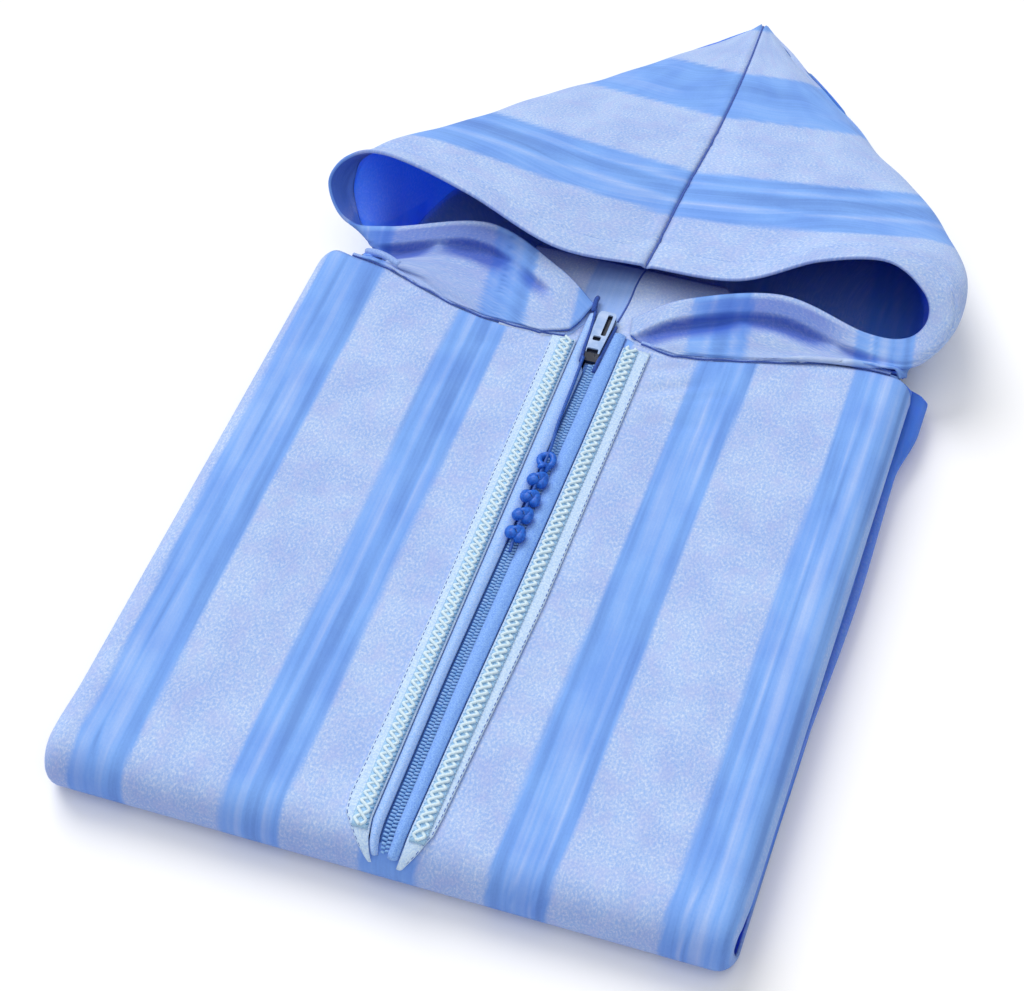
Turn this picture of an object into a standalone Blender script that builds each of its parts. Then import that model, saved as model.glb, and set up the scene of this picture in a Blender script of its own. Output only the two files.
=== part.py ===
"""A hooded, zip-fronted cotton robe, folded into a flat packet with its hood laid open above it.

Tables and sizes are in millimetres. Seen from above, the zip runs along x = 0, the front fold lies
at y = 0 and the shoulders lie away from it at y = 355. The mesh builders turn millimetres into
metres and move the origin to the middle of the flat underside. Each cloth piece is an open sheet
bent over the packet or the hood, with a Solidify modifier for its thickness.
"""

from math import cos, pi, radians, sin, sqrt

import bmesh
import bpy
import numpy as np
from mathutils import Vector

MM = 0.001
GAP = 0.3
CLOTH = 2.0

# The folded packet
HALF_WIDTH = 160.0
THICKNESS = 34.0
FOLD = THICKNESS / 2
LENGTH = 355.0
ORIGIN_Y = LENGTH / 2
REAR_BEND = 338.0
REAR_RADIUS = 18.0
CROWN_DROP = 1.5
UNDERSIDE_END = 335.0
SIDE_ROLL_TOP = 12.0
SIDE_ROLL_NOSE = 12.0
SIDE_ROLL_UNDER = 5.0
CORNER_PULL = 3.5
LEFT_TAPER = 6.8
RIGHT_TAPER = 2.5

# The hidden layers
CORE_TOP = THICKNESS - CLOTH - GAP
LAYERS = 3
LAYER_BULGE = 2.6
LOWER_LAYER_STEP = 2.2

# The back panel, under the front and round the shoulder fold
BACK_RADIUS = (CORE_TOP - 0.8) / 2
BACK_START = 322.0
BACK_EASE_TOP = 23.0
BACK_EASE_LOW = 3.0

# The placket
NOSE_STEPS = 9
SLIT_STEP = 2
SLIT_FOOT = FOLD - FOLD * pi * SLIT_STEP / NOSE_STEPS
SLIT_LEFT = -9.2
SLIT_RIGHT_EASE = 0.8
FACING_LIFT = GAP
FACING_WALL = 1.0
BRAID_LIFT = FACING_LIFT + FACING_WALL + GAP
BRAID_WALL = 1.0
TAPE_WALL = 1.2
TAPE_RISE = 1.3
TAPE_EASE = 1.0
CHAIN_WALL = 2.4
CHAIN_DEPTH = 1.7

# The knotted pull
CORD_DIAMETER = 1.6
KNOT_RADIUS = 4.6
KNOT_PITCH = 11.6
KNOTS = 5
KNOT_X = 1.0
KNOT_Z = 40.4

# Neckline seen from above: where it lies along the packet at each width
NECK_X = (-160, -140, -120, -100, -80, -60, -40, -28, -15, -9, 14, 22, 40, 60, 80, 100, 120, 140, 160)
NECK_Y = (350, 342, 338, 330, 323, 319, 318, 317, 322, 334, 328, 325, 322, 326, 331, 337, 345, 348, 350)

# Placket edges: a row for each place along the packet, from the foot to the neck
#            along  outer_left  inner_left  inner_right  outer_right
PLACKET = (
    (-8.0, -5.6, -4.6, 5.2, 6.2),
    (-4.0, -7.5, -5.6, 6.0, 8.5),
    (5.0, -15.0, -8.6, 7.6, 14.5),
    (14.0, -22.0, -9.8, 8.4, 18.8),
    (22.0, -23.4, -9.8, 8.6, 19.6),
    (70.0, -22.6, -9.9, 9.6, 22.0),
    (150.0, -22.4, -10.0, 11.6, 26.0),
    (250.0, -22.8, -10.0, 13.6, 27.6),
    (345.0, -23.0, -10.0, 14.4, 29.0),
)
BRAID_INSET = 1.0
BRAID_WIDTH = 7.4
BRAID_FOOT = 9.0
ZIP_FOOT = 0.0
ZIP_HEAD_LEFT = 338.0
ZIP_HEAD_RIGHT = 328.0

# The slider: its recesses run from low x to high x beside its middle, and along the packet
SLIDER_FOOT = 306.0
SLIDER_HEAD = 339.0
SLIDER_MIDDLE = 0.9
SLIDER_HALF_WIDTH = 4.7
SLIDER_LOW = 32.4
SLIDER_TOP = 38.4
RECESS_DEPTH = 2.2
SLIDER_RECESSES = ((0.6, 2.4, 325, 337), (-1.2, 2.0, 320.5, 322.5), (-3.2, 2.6, 310, 312))

# The pull cord's route from the slider to the first knot
CORD_ROUTE = ((-2.6, 305.4, 38.0), (-2.4, 300, 37.6), (-2.0, 288, 37.2), (-1.6, 270, 37.1),
              (-1.0, 255, 37.6), (0.4, 244, 38.8), (1.0, 237, 40.0))

# Hood, left half: a row for each section from the hem round to the back seam, and in it the points
# from the neck seam (first) over the outer side fold (sixth) to the crown seam (last)
HOOD_ROWS = (0.0, 0.1, 0.25, 0.5, 0.75, 1.0)
HOOD_LEFT = (
    ((-8, 343, 37), (-33, 357, 44), (-76, 374, 47), (-127, 364, 38), (-154, 368, 31), (-168, 381, 43),
     (-160, 390, 57), (-138, 391, 64), (-88, 377, 63), (-34, 361, 56), (12, 369, 48)),
    ((-20, 320, 36), (-45, 333, 38), (-85, 355, 38), (-126, 350, 35), (-146, 368, 27), (-161, 385, 38),
     (-157, 395, 53), (-136, 399, 59), (-90, 386, 62), (-34, 377, 56), (13, 383, 47.5)),
    ((-78, 324, 35.5), (-95, 334, 36.5), (-113, 341, 36), (-127, 348, 31), (-134, 360, 24), (-147, 392, 32),
     (-149, 408, 46), (-137, 414, 54), (-92, 414, 56), (-34, 421, 48.5), (13.5, 428, 41.5)),
    ((-138, 347, 29), (-137, 356, 22), (-134, 368, 12), (-131, 386, 3), (-126, 415, 0), (-125, 440, 14),
     (-126, 449, 31), (-112, 458, 39.5), (-70, 469, 38), (-25, 487, 34.5), (16, 497, 31.5)),
    ((-76, 350, 29.5), (-78, 363, 27), (-80, 379, 15), (-82, 401, 1.5), (-82, 470, 0), (-71, 533, 5),
     (-63, 543, 11), (-50.5, 549.5, 16), (-30.5, 556, 18.5), (-8, 561.5, 19), (15, 567, 19)),
    ((11, 350, 29.5), (11, 367, 31), (11, 387, 25), (11, 409, 3), (11, 510, 0), (11, 620.5, 0.6),
     (10.5, 624, 2), (10.5, 626, 4), (11, 625.8, 6), (11.5, 624.5, 7.4), (12, 622.5, 8.4)),
)
HOOD_RIGHT = (
    ((13, 339, 37), (38, 355, 44), (84, 369, 47), (128, 365, 38), (150, 368, 37.5), (159, 376, 46),
     (154, 386, 56), (132, 394.5, 64), (98, 388, 60), (60, 371.5, 51), (12, 369, 48)),
    ((20, 326, 36), (42, 332, 37.5), (84, 345, 37), (122, 351, 35), (153, 358, 33), (169, 374, 44),
     (165, 391, 58), (140, 403, 64), (102, 399, 60), (60, 385, 51), (13, 383, 47.5)),
    ((84, 334, 35.5), (104, 341, 36), (126, 347, 34.5), (147, 354, 29), (161, 366, 28), (173, 387, 40),
     (171, 408, 50), (150, 420, 55), (107, 423, 54), (62, 426, 48), (13.5, 428, 41.5)),
    ((152, 352, 25), (153, 360, 18), (152, 372, 8), (152, 392, 1.5), (151, 425, 0), (151, 452, 12),
     (148, 466, 25), (126, 488, 31), (90, 493, 34), (50, 495, 33.5), (16, 497, 31.5)),
    ((82, 350, 29.5), (84, 363, 27), (86, 379, 15), (88, 402, 2), (89, 470, 0), (90, 543, 5),
     (81, 551, 11), (66.5, 557.5, 16), (50, 561, 18.3), (32.5, 564, 18.8), (15, 567, 19)),
    ((11, 350, 29.5), (11, 367, 31), (11, 387, 25), (11, 409, 3), (11, 510, 0), (13, 620.5, 0.6),
     (13.5, 624, 2), (14, 626, 4), (13.5, 625.8, 6), (12.7, 624.5, 7.4), (12, 622.5, 8.4)),
)
HOOD_ACROSS = 26
HOOD_ALONG = 18
SEAM_HALF_GAP = 0.5
PEAK_HALF_GAP = 1.1
BACK_NECK = (349.0, 28.2)
NECK_SEAM_EASE = 1.6
NECK_SEAM_RISE = 1.4
COLLAR_RISE = 1.4
HOOD_FLOOR = 0.9

COLOURS = {
    "stripe_cloth": (0.45, 0.62, 0.90),
    "inner_cloth": (0.20, 0.38, 0.80),
    "braid": (0.62, 0.80, 0.90),
    "tape": (0.28, 0.50, 0.93),
    "teeth": (0.14, 0.36, 0.68),
    "slider": (0.25, 0.45, 0.80),
    "cord": (0.05, 0.15, 0.60),
}


def material(name, roughness=0.85):
    """A plain finish in one of the cloth's colours."""
    made = bpy.data.materials.get(name)
    if made is None:
        made = bpy.data.materials.new(name)
        made.use_nodes = True
        surface = made.node_tree.nodes["Principled BSDF"]
        surface.inputs["Base Color"].default_value = (*COLOURS[name], 1.0)
        surface.inputs["Roughness"].default_value = roughness
    return made


def placed(point):
    """A point in millimetres as a vector in metres, from the middle of the underside."""
    x, y, z = point
    return Vector((x * MM, (y - ORIGIN_Y) * MM, z * MM))


def finish(name, mesh, finish_name):
    """An object in the robe's collection, shaded smooth."""
    thing = bpy.data.objects.new(name, mesh)
    robe.objects.link(thing)
    mesh.materials.append(material(finish_name))
    mesh.shade_smooth()
    return thing


def sheet(name, columns, rows, point, wall, finish_name, outward=False, turned=False, keep=None):
    """A grid bent so that its column i and row j lie at point(i, j), given a wall.

    keep(i, j) says whether the face between columns i, i + 1 and rows j, j + 1 stays.
    """
    mesh = bpy.data.meshes.new(name)
    bm = bmesh.new()
    bmesh.ops.create_grid(bm, x_segments=columns, y_segments=rows, size=0.5)
    places = {}
    for vert in bm.verts:
        i = round((vert.co.x + 0.5) * columns)
        j = round((vert.co.y + 0.5) * rows)
        places[vert] = (i, j)
    if keep:
        cut = []
        for face in bm.faces:
            i = min(places[vert][0] for vert in face.verts)
            j = min(places[vert][1] for vert in face.verts)
            if not keep(i, j):
                cut.append(face)
        bmesh.ops.delete(bm, geom=cut, context="FACES")
    for vert in bm.verts:
        vert.co = placed(point(*places[vert]))
    if turned:
        bmesh.ops.reverse_faces(bm, faces=bm.faces)
    bm.to_mesh(mesh)
    bm.free()
    thing = finish(name, mesh, finish_name)
    thickness = thing.modifiers.new("Cloth", "SOLIDIFY")
    thickness.thickness = wall * MM
    thickness.offset = 1.0 if outward else -1.0
    return thing


def blend(start, end, low, high, value):
    """start below low, end above high, and a smooth step between them."""
    t = min(max((value - low) / (high - low), 0.0), 1.0)
    return start + (end - start) * t * t * (3 - 2 * t)


def neck_at(x):
    """Where the neckline crosses the packet at this width."""
    return float(np.interp(x, NECK_X, NECK_Y))


def placket_at(along, column):
    """An edge of the placket: 1 outer left, 2 inner left, 3 inner right, 4 outer right."""
    table = np.array(PLACKET)
    return float(np.interp(along, table[:, 0], table[:, column]))


def profile(v):
    """The packet's side view: (y, z) and the outward direction at v along the cloth.

    v is y on top of the packet. Below FOLD it goes round the front fold and under.
    """
    if v > REAR_BEND:
        turn = (v - REAR_BEND) / REAR_RADIUS
        rise = THICKNESS - REAR_RADIUS
        return REAR_BEND + REAR_RADIUS * sin(turn), rise + REAR_RADIUS * cos(turn), sin(turn), cos(turn)
    if v >= FOLD:
        return v, THICKNESS, 0.0, 1.0
    turn = (FOLD - v) / FOLD
    if turn <= pi:
        return FOLD - FOLD * sin(turn), FOLD + FOLD * cos(turn), -sin(turn), cos(turn)
    return FOLD + (turn - pi) * FOLD, 0.0, 0.0, -1.0


def side_roll(v):
    """The radius of the rolled side edge at v along the cloth."""
    if v > -FOLD * pi / 4:
        return blend(SIDE_ROLL_NOSE, SIDE_ROLL_TOP, -FOLD * pi / 4, 3 * FOLD, v)
    return blend(SIDE_ROLL_UNDER, SIDE_ROLL_NOSE, FOLD - FOLD * pi, -FOLD * pi / 4, v)


def half_width(v, side):
    """Half the packet's width at v: it widens to the left towards the front."""
    taper = (LEFT_TAPER if side < 0 else RIGHT_TAPER) * (1 - profile(v)[0] / LENGTH)
    foremost = FOLD - FOLD * pi / 2
    if v > foremost:
        nose = blend(1.0, 0.0, foremost, 2 * FOLD, v)
    else:
        nose = blend(0.0, 1.0, FOLD - FOLD * pi, foremost, v)
    return HALF_WIDTH - side * taper - CORNER_PULL * nose


def crown(x, v):
    """How far the top of the packet drops towards its side edges."""
    if v < FOLD:
        return 0.0
    return CROWN_DROP * min(abs(x) / HALF_WIDTH, 1.0) ** 4 * blend(0, 1, FOLD, 3 * FOLD, v)


def on_packet(x, v, lift=0.0):
    """A point on the front panel at width x and v along the cloth, lifted off its face."""
    y, z, out_y, out_z = profile(v)
    z -= crown(x, v)
    return x, y + out_y * lift, z + out_z * lift


def rolled(side, v, turn):
    """A point on the front panel's rolled side edge, turned from the flat of the panel."""
    y, z, out_y, out_z = profile(v)
    radius = side_roll(v)
    width = half_width(v, side)
    x = side * (width - radius + radius * sin(turn))
    z -= crown(x, v)
    inward = radius * (1 - cos(turn))
    return x, y - out_y * inward, z - out_z * inward


ROLL_TURNS = [radians(a) for a in (90, 68, 46, 24)]
FLATS = 8


def front_point(i, v):
    """The front panel's outer face at column i: left roll, left flat, slit, right flat, right roll."""
    rolls = len(ROLL_TURNS)
    if i < rolls:
        return rolled(-1, v, ROLL_TURNS[i])
    left_end = -(half_width(v, -1) - side_roll(v))
    right_end = half_width(v, 1) - side_roll(v)
    i -= rolls
    if i <= FLATS:
        return on_packet(left_end + (SLIT_LEFT - left_end) * i / FLATS, v)
    i -= FLATS + 1
    if i <= FLATS:
        start = placket_at(v, 3) - SLIT_RIGHT_EASE
        return on_packet(start + (right_end - start) * i / FLATS, v)
    i -= FLATS + 1
    return rolled(1, v, ROLL_TURNS[rolls - 1 - i])


def make_front():
    """Front panel: over the top, round the front fold and flat underneath, slit for the zip."""
    under = [FOLD - FOLD * pi - run for run in (UNDERSIDE_END - FOLD, 250, 180, 110, 50, 12)]
    nose = [FOLD - FOLD * pi * step / NOSE_STEPS for step in range(NOSE_STEPS, 0, -1)]
    foot = [FOLD, 32, 55, 85, 120, 155, 190, 225, 260, 290]
    fixed = under + nose + foot
    slit_row = fixed.index(SLIT_FOOT)
    stretched = 5
    columns = 2 * len(ROLL_TURNS) + 2 * FLATS + 1
    rows = len(fixed) - 1 + stretched
    slit_column = len(ROLL_TURNS) + FLATS

    def point(i, j):
        if j < len(fixed):
            return front_point(i, fixed[j])
        share = (j - len(fixed) + 1) / stretched
        x = front_point(i, fixed[-1])[0]
        return front_point(i, fixed[-1] + share * (neck_at(x) - fixed[-1]))

    def keep(i, j):
        return not (i == slit_column and j >= slit_row)

    return sheet("front", columns, rows, point, CLOTH, "stripe_cloth", keep=keep)


def make_back():
    """Back panel: from under the front's neckline round the shoulder fold and underneath."""
    turns = [pi * step / 8 for step in range(9)]
    flats = 8

    def point(i, j):
        turn = turns[min(max(j - 1, 0), len(turns) - 1)]
        y = REAR_BEND + BACK_RADIUS * sin(turn)
        z = BACK_RADIUS + BACK_RADIUS * cos(turn)
        if j == 0:
            y = BACK_START
        elif j > len(turns):
            y = UNDERSIDE_END + GAP + 0.2
        inset = blend(BACK_EASE_TOP, BACK_EASE_LOW, radians(70), radians(110), turn)
        x = (2 * i / flats - 1) * (HALF_WIDTH - inset)
        drop = crown(x, REAR_BEND) if j <= 1 else crown(x, REAR_BEND) * max(cos(turns[min(j - 1, 8)]), 0)
        return x, y, z - drop

    return sheet("back", flats, len(turns) + 1, point, CLOTH, "stripe_cloth")


def core_half_width(y, z, top, side):
    """Half the width of the hidden layers at this height, with the layered edge."""
    v = max(y, FOLD)
    width = half_width(v, side)
    roll = side_roll(v)
    hidden = width - SIDE_ROLL_NOSE - CLOTH
    roll_low = top + CLOTH + GAP - roll
    if z >= roll_low:
        radius = roll - CLOTH - GAP
        reach = width - roll + sqrt(max(radius * radius - (z - roll_low) ** 2, 0.0))
    elif z <= SIDE_ROLL_UNDER:
        radius = SIDE_ROLL_UNDER - CLOTH - GAP
        reach = width - SIDE_ROLL_UNDER + sqrt(max(radius * radius - (z - SIDE_ROLL_UNDER) ** 2, 0.0))
    else:
        share = (z - SIDE_ROLL_UNDER - GAP) / (roll_low - CROWN_DROP - SIDE_ROLL_UNDER - 5 * GAP)
        share = min(max(share, 0.0), 0.999) * LAYERS
        across = 2 * (share - int(share)) - 1
        reach = width - 2 * GAP - LAYER_BULGE * (1 - sqrt(1 - min(across * across, 1.0)))
        if side > 0 and int(share) == LAYERS - 2:
            reach += LOWER_LAYER_STEP * blend(0, 1, 90, 230, y)
    nose = blend(0.0, 1.0, FOLD + 2, 2 * FOLD, y) * blend(1.0, 0.0, REAR_BEND - 12, REAR_BEND + 2, y)
    return hidden + (reach - hidden) * nose


def make_folded_layers():
    """Sleeves, gores and skirt: one rounded solid, layered where its edges show."""
    inner = FOLD - CLOTH - 2 * GAP
    rear_inner = BACK_RADIUS - CLOTH - 2 * GAP
    stations = [FOLD - inner * cos(radians(a)) for a in (8, 30, 60, 90)]
    stations += [24, 30, 38, 60, 100, 150, 200, 250, 300, 322, 330, REAR_BEND]
    stations += [REAR_BEND + rear_inner * sin(radians(a)) for a in (30, 60, 82)]
    heights = [0.0, 0.35, 0.75, 1.0]
    flats = 4

    def ring(y):
        rear = blend(0, 1, BACK_START - 20, BACK_START - 1, y)
        top = CORE_TOP - rear * (CLOTH + 4 * GAP)
        low = CLOTH + GAP
        middle = (top + low) / 2
        half = (top - low) / 2
        if y < FOLD:
            middle, half = FOLD, sqrt(max(inner * inner - (FOLD - y) ** 2, 1.0))
        if y > REAR_BEND:
            middle, half = BACK_RADIUS, sqrt(max(rear_inner * rear_inner - (y - REAR_BEND) ** 2, 1.0))
        half = min(half, (top - low) / 2)
        roll_low = CORE_TOP + CLOTH + GAP - side_roll(max(y, FOLD))
        layer = (roll_low - CROWN_DROP - SIDE_ROLL_UNDER - 5 * GAP) / LAYERS
        levels = [low + 0.05, low + 1.2, SIDE_ROLL_UNDER]
        for number in range(LAYERS):
            base = SIDE_ROLL_UNDER + GAP + number * layer
            levels += [base + layer * part for part in (0.04, 0.3, 0.7, 0.96)]
        levels += [roll_low + part * (CORE_TOP - roll_low) for part in (0.0, 0.45, 0.8)] + [top]
        right, left = [], []
        for level in levels:
            share = (level - low) / (top - low)
            for side, edge in ((1, right), (-1, left)):
                x = side * core_half_width(y, level, CORE_TOP, side)
                height = level - (crown(x, max(y, FOLD)) if level >= roll_low else 0.0)
                if y < FOLD or y > REAR_BEND:
                    height = middle - half + 2 * half * min(share, 1.0)
                if y > REAR_BEND:
                    height -= crown(x, y) * min(share, 1.0)
                edge.append((x, y, height))
        lid = []
        for step in range(1, flats):
            part = step / flats
            lid.append(tuple(a + (b - a) * part for a, b in zip(right[-1], left[-1])))
        floor = []
        for step in range(1, flats):
            part = step / flats
            floor.append(tuple(a + (b - a) * part for a, b in zip(left[0], right[0])))
        return right + lid + left[::-1] + floor

    bm = bmesh.new()
    rings = [[bm.verts.new(placed(point)) for point in ring(y)] for y in stations]
    for one, other in zip(rings, rings[1:]):
        for k in range(len(one)):
            n = (k + 1) % len(one)
            bm.faces.new((one[k], one[n], other[n], other[k]))
    bm.faces.new(rings[0][::-1])
    bm.faces.new(rings[-1])
    bmesh.ops.recalc_face_normals(bm, faces=bm.faces)
    mesh = bpy.data.meshes.new("folded_layers")
    bm.to_mesh(mesh)
    bm.free()
    return finish("folded_layers", mesh, "inner_cloth")


def strip_rows(start, end, step):
    """Places along the packet from start to end, about step apart."""
    count = max(1, round((end - start) / step))
    return [start + (end - start) * k / count for k in range(count + 1)]


def packet_strip(name, left, right, stations, lift, wall, finish_name, across=2, rise=0.0):
    """A strip on the front panel between two edges, made from the panel's points and moved out."""

    def point(i, j):
        v = stations[j]
        share = i / across
        x = left(v) + (right(v) - left(v)) * share
        return on_packet(x, v, lift + rise * sin(pi * share))

    return sheet(name, across, len(stations) - 1, point, wall, finish_name, outward=True)


def make_placket():
    """Facings, braids, zip tapes and chain, each laid on the front or in its slit."""
    facing_top = {-1: 318.5, 1: 321.0}
    stations = [-4, 0, 5, 9.5, 14, 18, 22]
    for side, outer, inner, name in ((-1, 1, 2, "left"), (1, 4, 3, "right")):
        rows = stations + strip_rows(22, facing_top[side], 33)[1:]
        low, high = (outer, inner) if side < 0 else (inner, outer)
        packet_strip(
            f"facing_{name}", lambda v, e=low: placket_at(v, e), lambda v, e=high: placket_at(v, e),
            rows, FACING_LIFT, FACING_WALL, "stripe_cloth")
        braid_rows = [v for v in rows if v >= BRAID_FOOT]

        near, far = BRAID_INSET * side, (BRAID_INSET + BRAID_WIDTH) * side
        low_out, high_out = min(near, far), max(near, far)
        packet_strip(
            f"braid_{name}", lambda v, e=inner, out=low_out: placket_at(v, e) + out,
            lambda v, e=inner, out=high_out: placket_at(v, e) + out,
            braid_rows, BRAID_LIFT, BRAID_WALL, "braid")
    zip_rows = [ZIP_FOOT, 5, 9.5, 14, 18, 22] + strip_rows(22, 294, 32)[1:] + [300, 306]
    packet_strip(
        "zip_tape_left", lambda v: placket_at(v, 2) + TAPE_EASE, lambda v: tape_edge(v, -1) - TAPE_EASE,
        zip_rows + [322, ZIP_HEAD_LEFT], GAP, TAPE_WALL, "tape", across=4, rise=TAPE_RISE)
    packet_strip(
        "zip_tape_right", lambda v: tape_edge(v, 1) + TAPE_EASE, lambda v: placket_at(v, 3) - TAPE_EASE,
        zip_rows + [317, ZIP_HEAD_RIGHT], GAP, TAPE_WALL, "tape", across=4, rise=TAPE_RISE)
    chain_rows = [SLIT_FOOT + 1.0]
    chain_rows += [v for v in zip_rows if SLIT_FOOT + 2 < v < SLIDER_FOOT] + [SLIDER_FOOT - GAP]
    packet_strip(
        "zip_chain", lambda v: chain_edge(v, -1), lambda v: chain_edge(v, 1),
        chain_rows, -CHAIN_DEPTH, CHAIN_WALL, "teeth", across=2, rise=0.5)


def chain_edge(v, side):
    """The zip chain's edge: it drifts from left at the foot to right at the neck."""
    middle = float(np.interp(v, (0, 100, 300), (-0.8, -0.6, 2.6)))
    half = float(np.interp(v, (-4, 8), (1.6, 3.0)))
    return middle + side * half


def tape_edge(v, side):
    """The tape's edge beside the chain. It steps back on each side of the slider."""
    beside_slider = SLIDER_MIDDLE + side * (SLIDER_HALF_WIDTH + GAP)
    return blend(chain_edge(v, side), beside_slider, SLIDER_FOOT - 9, SLIDER_FOOT, v)


def hidden_box(low, high):
    """A box cutter between two corners, left out of the render."""
    middle = [(a + b) / 2 for a, b in zip(low, high)]
    bpy.ops.mesh.primitive_cube_add(size=1.0, location=placed(middle))
    cutter = bpy.context.object
    cutter.scale = [(b - a) * MM for a, b in zip(low, high)]
    for holder in list(cutter.users_collection):
        holder.objects.unlink(cutter)
    cutters.objects.link(cutter)
    cutter.hide_render = True
    cutter.display_type = "WIRE"
    return cutter


def make_slider():
    """The slider: a plate that widens towards the neck, with a slot and two recesses."""
    half = SLIDER_HALF_WIDTH
    right_side = [(0.74 * half, SLIDER_FOOT), (0.9 * half, SLIDER_FOOT + 7), (half, SLIDER_FOOT + 22),
                  (half, SLIDER_HEAD - 2), (0.7 * half, SLIDER_HEAD)]
    outline = right_side + [(-x, y) for x, y in reversed(right_side)]
    bm = bmesh.new()
    base = [bm.verts.new(placed((SLIDER_MIDDLE + x, y, SLIDER_LOW))) for x, y in outline]
    floor = bm.faces.new(base)
    raised = bmesh.ops.extrude_face_region(bm, geom=[floor])
    lifted = [item for item in raised["geom"] if isinstance(item, bmesh.types.BMVert)]
    bmesh.ops.translate(bm, verts=lifted, vec=(0, 0, (SLIDER_TOP - SLIDER_LOW) * MM))
    bmesh.ops.recalc_face_normals(bm, faces=bm.faces)
    mesh = bpy.data.meshes.new("zip_slider")
    bm.to_mesh(mesh)
    bm.free()
    slider = finish("zip_slider", mesh, "slider")
    mesh.set_sharp_from_angle(angle=radians(35))
    rounding = slider.modifiers.new("Rounded edges", "BEVEL")
    rounding.width = 0.6 * MM
    rounding.segments = 2
    for low_x, high_x, low_y, high_y in SLIDER_RECESSES:
        low = (SLIDER_MIDDLE + low_x, low_y, SLIDER_TOP - RECESS_DEPTH)
        high = (SLIDER_MIDDLE + high_x, high_y, SLIDER_TOP + 2.0)
        cut = slider.modifiers.new("Recess", "BOOLEAN")
        cut.operation = "DIFFERENCE"
        cut.object = hidden_box(low, high)
    return slider


def smooth_route(points, spacing):
    """Points about this far apart on a smooth curve through the route's own points."""
    points = np.array(points, float)
    lengths = np.concatenate([[0], np.cumsum(np.linalg.norm(np.diff(points, axis=0), axis=1))])
    slopes = np.gradient(points, lengths, axis=0)
    count = round(lengths[-1] / spacing)
    route = []
    for s in np.linspace(0, lengths[-1], count + 1):
        route.append(hermite(points, lengths, slopes, s))
    return route


def hermite(points, knots, slopes, at):
    """The smooth curve through points at the given places, read at one place."""
    k = int(np.clip(np.searchsorted(knots, at, side="right") - 1, 0, len(knots) - 2))
    width = knots[k + 1] - knots[k]
    t = (at - knots[k]) / width
    across = (2 * t**3 - 3 * t**2 + 1) * points[k] + (3 * t**2 - 2 * t**3) * points[k + 1]
    return across + width * ((t**3 - 2 * t**2 + t) * slopes[k] + (t**3 - t**2) * slopes[k + 1])


def tube(name, route, radii, finish_name):
    """A curve through the route with its own radius at each point, and filled caps."""
    curve = bpy.data.curves.new(name, "CURVE")
    curve.dimensions = "3D"
    curve.bevel_depth = MM
    curve.bevel_resolution = 2
    curve.use_fill_caps = True
    spline = curve.splines.new("POLY")
    spline.points.add(len(route) - 1)
    for point, place, radius in zip(spline.points, route, radii):
        point.co = (*placed(place), 1.0)
        point.radius = radius
    thing = bpy.data.objects.new(name, curve)
    robe.objects.link(thing)
    curve.materials.append(material(finish_name))
    return thing


def make_pull():
    """The cord tied to the slider, and the row of knots at its end."""
    route = smooth_route(CORD_ROUTE, 2.5 * CORD_DIAMETER)
    tube("pull_cord", route, [CORD_DIAMETER / 2] * len(route), "cord")
    start = CORD_ROUTE[-1][1] - GAP
    knots, radii = [], []
    for number in range(KNOTS):
        for share, swell in ((0.0, 0.42), (0.16, 0.8), (0.36, 1.0), (0.64, 1.0), (0.84, 0.8)):
            along = (number + share) * KNOT_PITCH
            knots.append((KNOT_X, start - along, KNOT_Z))
            radii.append(KNOT_RADIUS * swell)
    for share, swell in ((0.0, 0.4), (0.3, 0.5), (0.6, 0.5), (0.9, 0.3)):
        knots.append((KNOT_X, start - (KNOTS + share) * KNOT_PITCH, KNOT_Z - 1.6 * share))
        radii.append(KNOT_RADIUS * swell)
    tube("pull_knots", knots, radii, "cord")


def hood_surface(table):
    """The smooth surface through the table's points: (across, along), each from 0 to 1."""
    net = np.array(table, float)
    places = np.arange(net.shape[1])
    rows = np.array(HOOD_ROWS)
    across_slopes = np.gradient(net, places, axis=1)

    def surface(across, along):
        curve = np.array([
            hermite(net[r], places, across_slopes[r], across * places[-1]) for r in range(len(rows))])
        slopes = np.gradient(curve, rows, axis=0)
        return hermite(curve, rows, slopes, along)

    return surface


def make_hood(name, table, side):
    """One half of the hood, from the neck seam round the side fold to the crown seam."""
    surface = hood_surface(table)

    def point(i, j):
        across, along = i / HOOD_ACROSS, (j / HOOD_ALONG)
        x, y, z = surface(across, along)
        edge_x, edge_y, edge_z = surface(0.0, along)
        on_neck = blend(0, 1, 0, 0.1, along) * blend(1, 0, 0.45, 0.5, along) * (1 - across) ** 4
        on_back = blend(0, 1, 0.5, 0.55, along) * (1 - across) ** 4
        rise = NECK_SEAM_RISE + COLLAR_RISE * blend(1, 0, 0.08, 0.2, along)
        neck_y = neck_at(edge_x)
        neck_z = THICKNESS + rise - crown(edge_x, neck_y)
        y += on_neck * (neck_y + NECK_SEAM_EASE - edge_y) + on_back * (BACK_NECK[0] - edge_y)
        z += on_neck * (neck_z - edge_z) + on_back * (BACK_NECK[1] - edge_z)
        at_seam = max(blend(0, 1, 0.93, 1.0, across), blend(0, 1, 0.93, 1.0, along))
        at_peak = blend(0, 1, 0.88, 1.0, along) * blend(0, 1, 0.3, 0.5, across)
        return x + side * (SEAM_HALF_GAP * at_seam + PEAK_HALF_GAP * at_peak), y, max(z, HOOD_FLOOR)

    return sheet(name, HOOD_ACROSS, HOOD_ALONG, point, CLOTH, "stripe_cloth", turned=side > 0)


for thing in list(bpy.data.objects):
    bpy.data.objects.remove(thing)
robe = bpy.data.collections.new("Folded hooded robe")
cutters = bpy.data.collections.new("Cutters")
for collection in (robe, cutters):
    bpy.context.scene.collection.children.link(collection)
make_front()
make_back()
make_folded_layers()
make_placket()
make_slider()
make_pull()
make_hood("hood_left", HOOD_LEFT, -1)
make_hood("hood_right", HOOD_RIGHT, 1)
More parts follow.
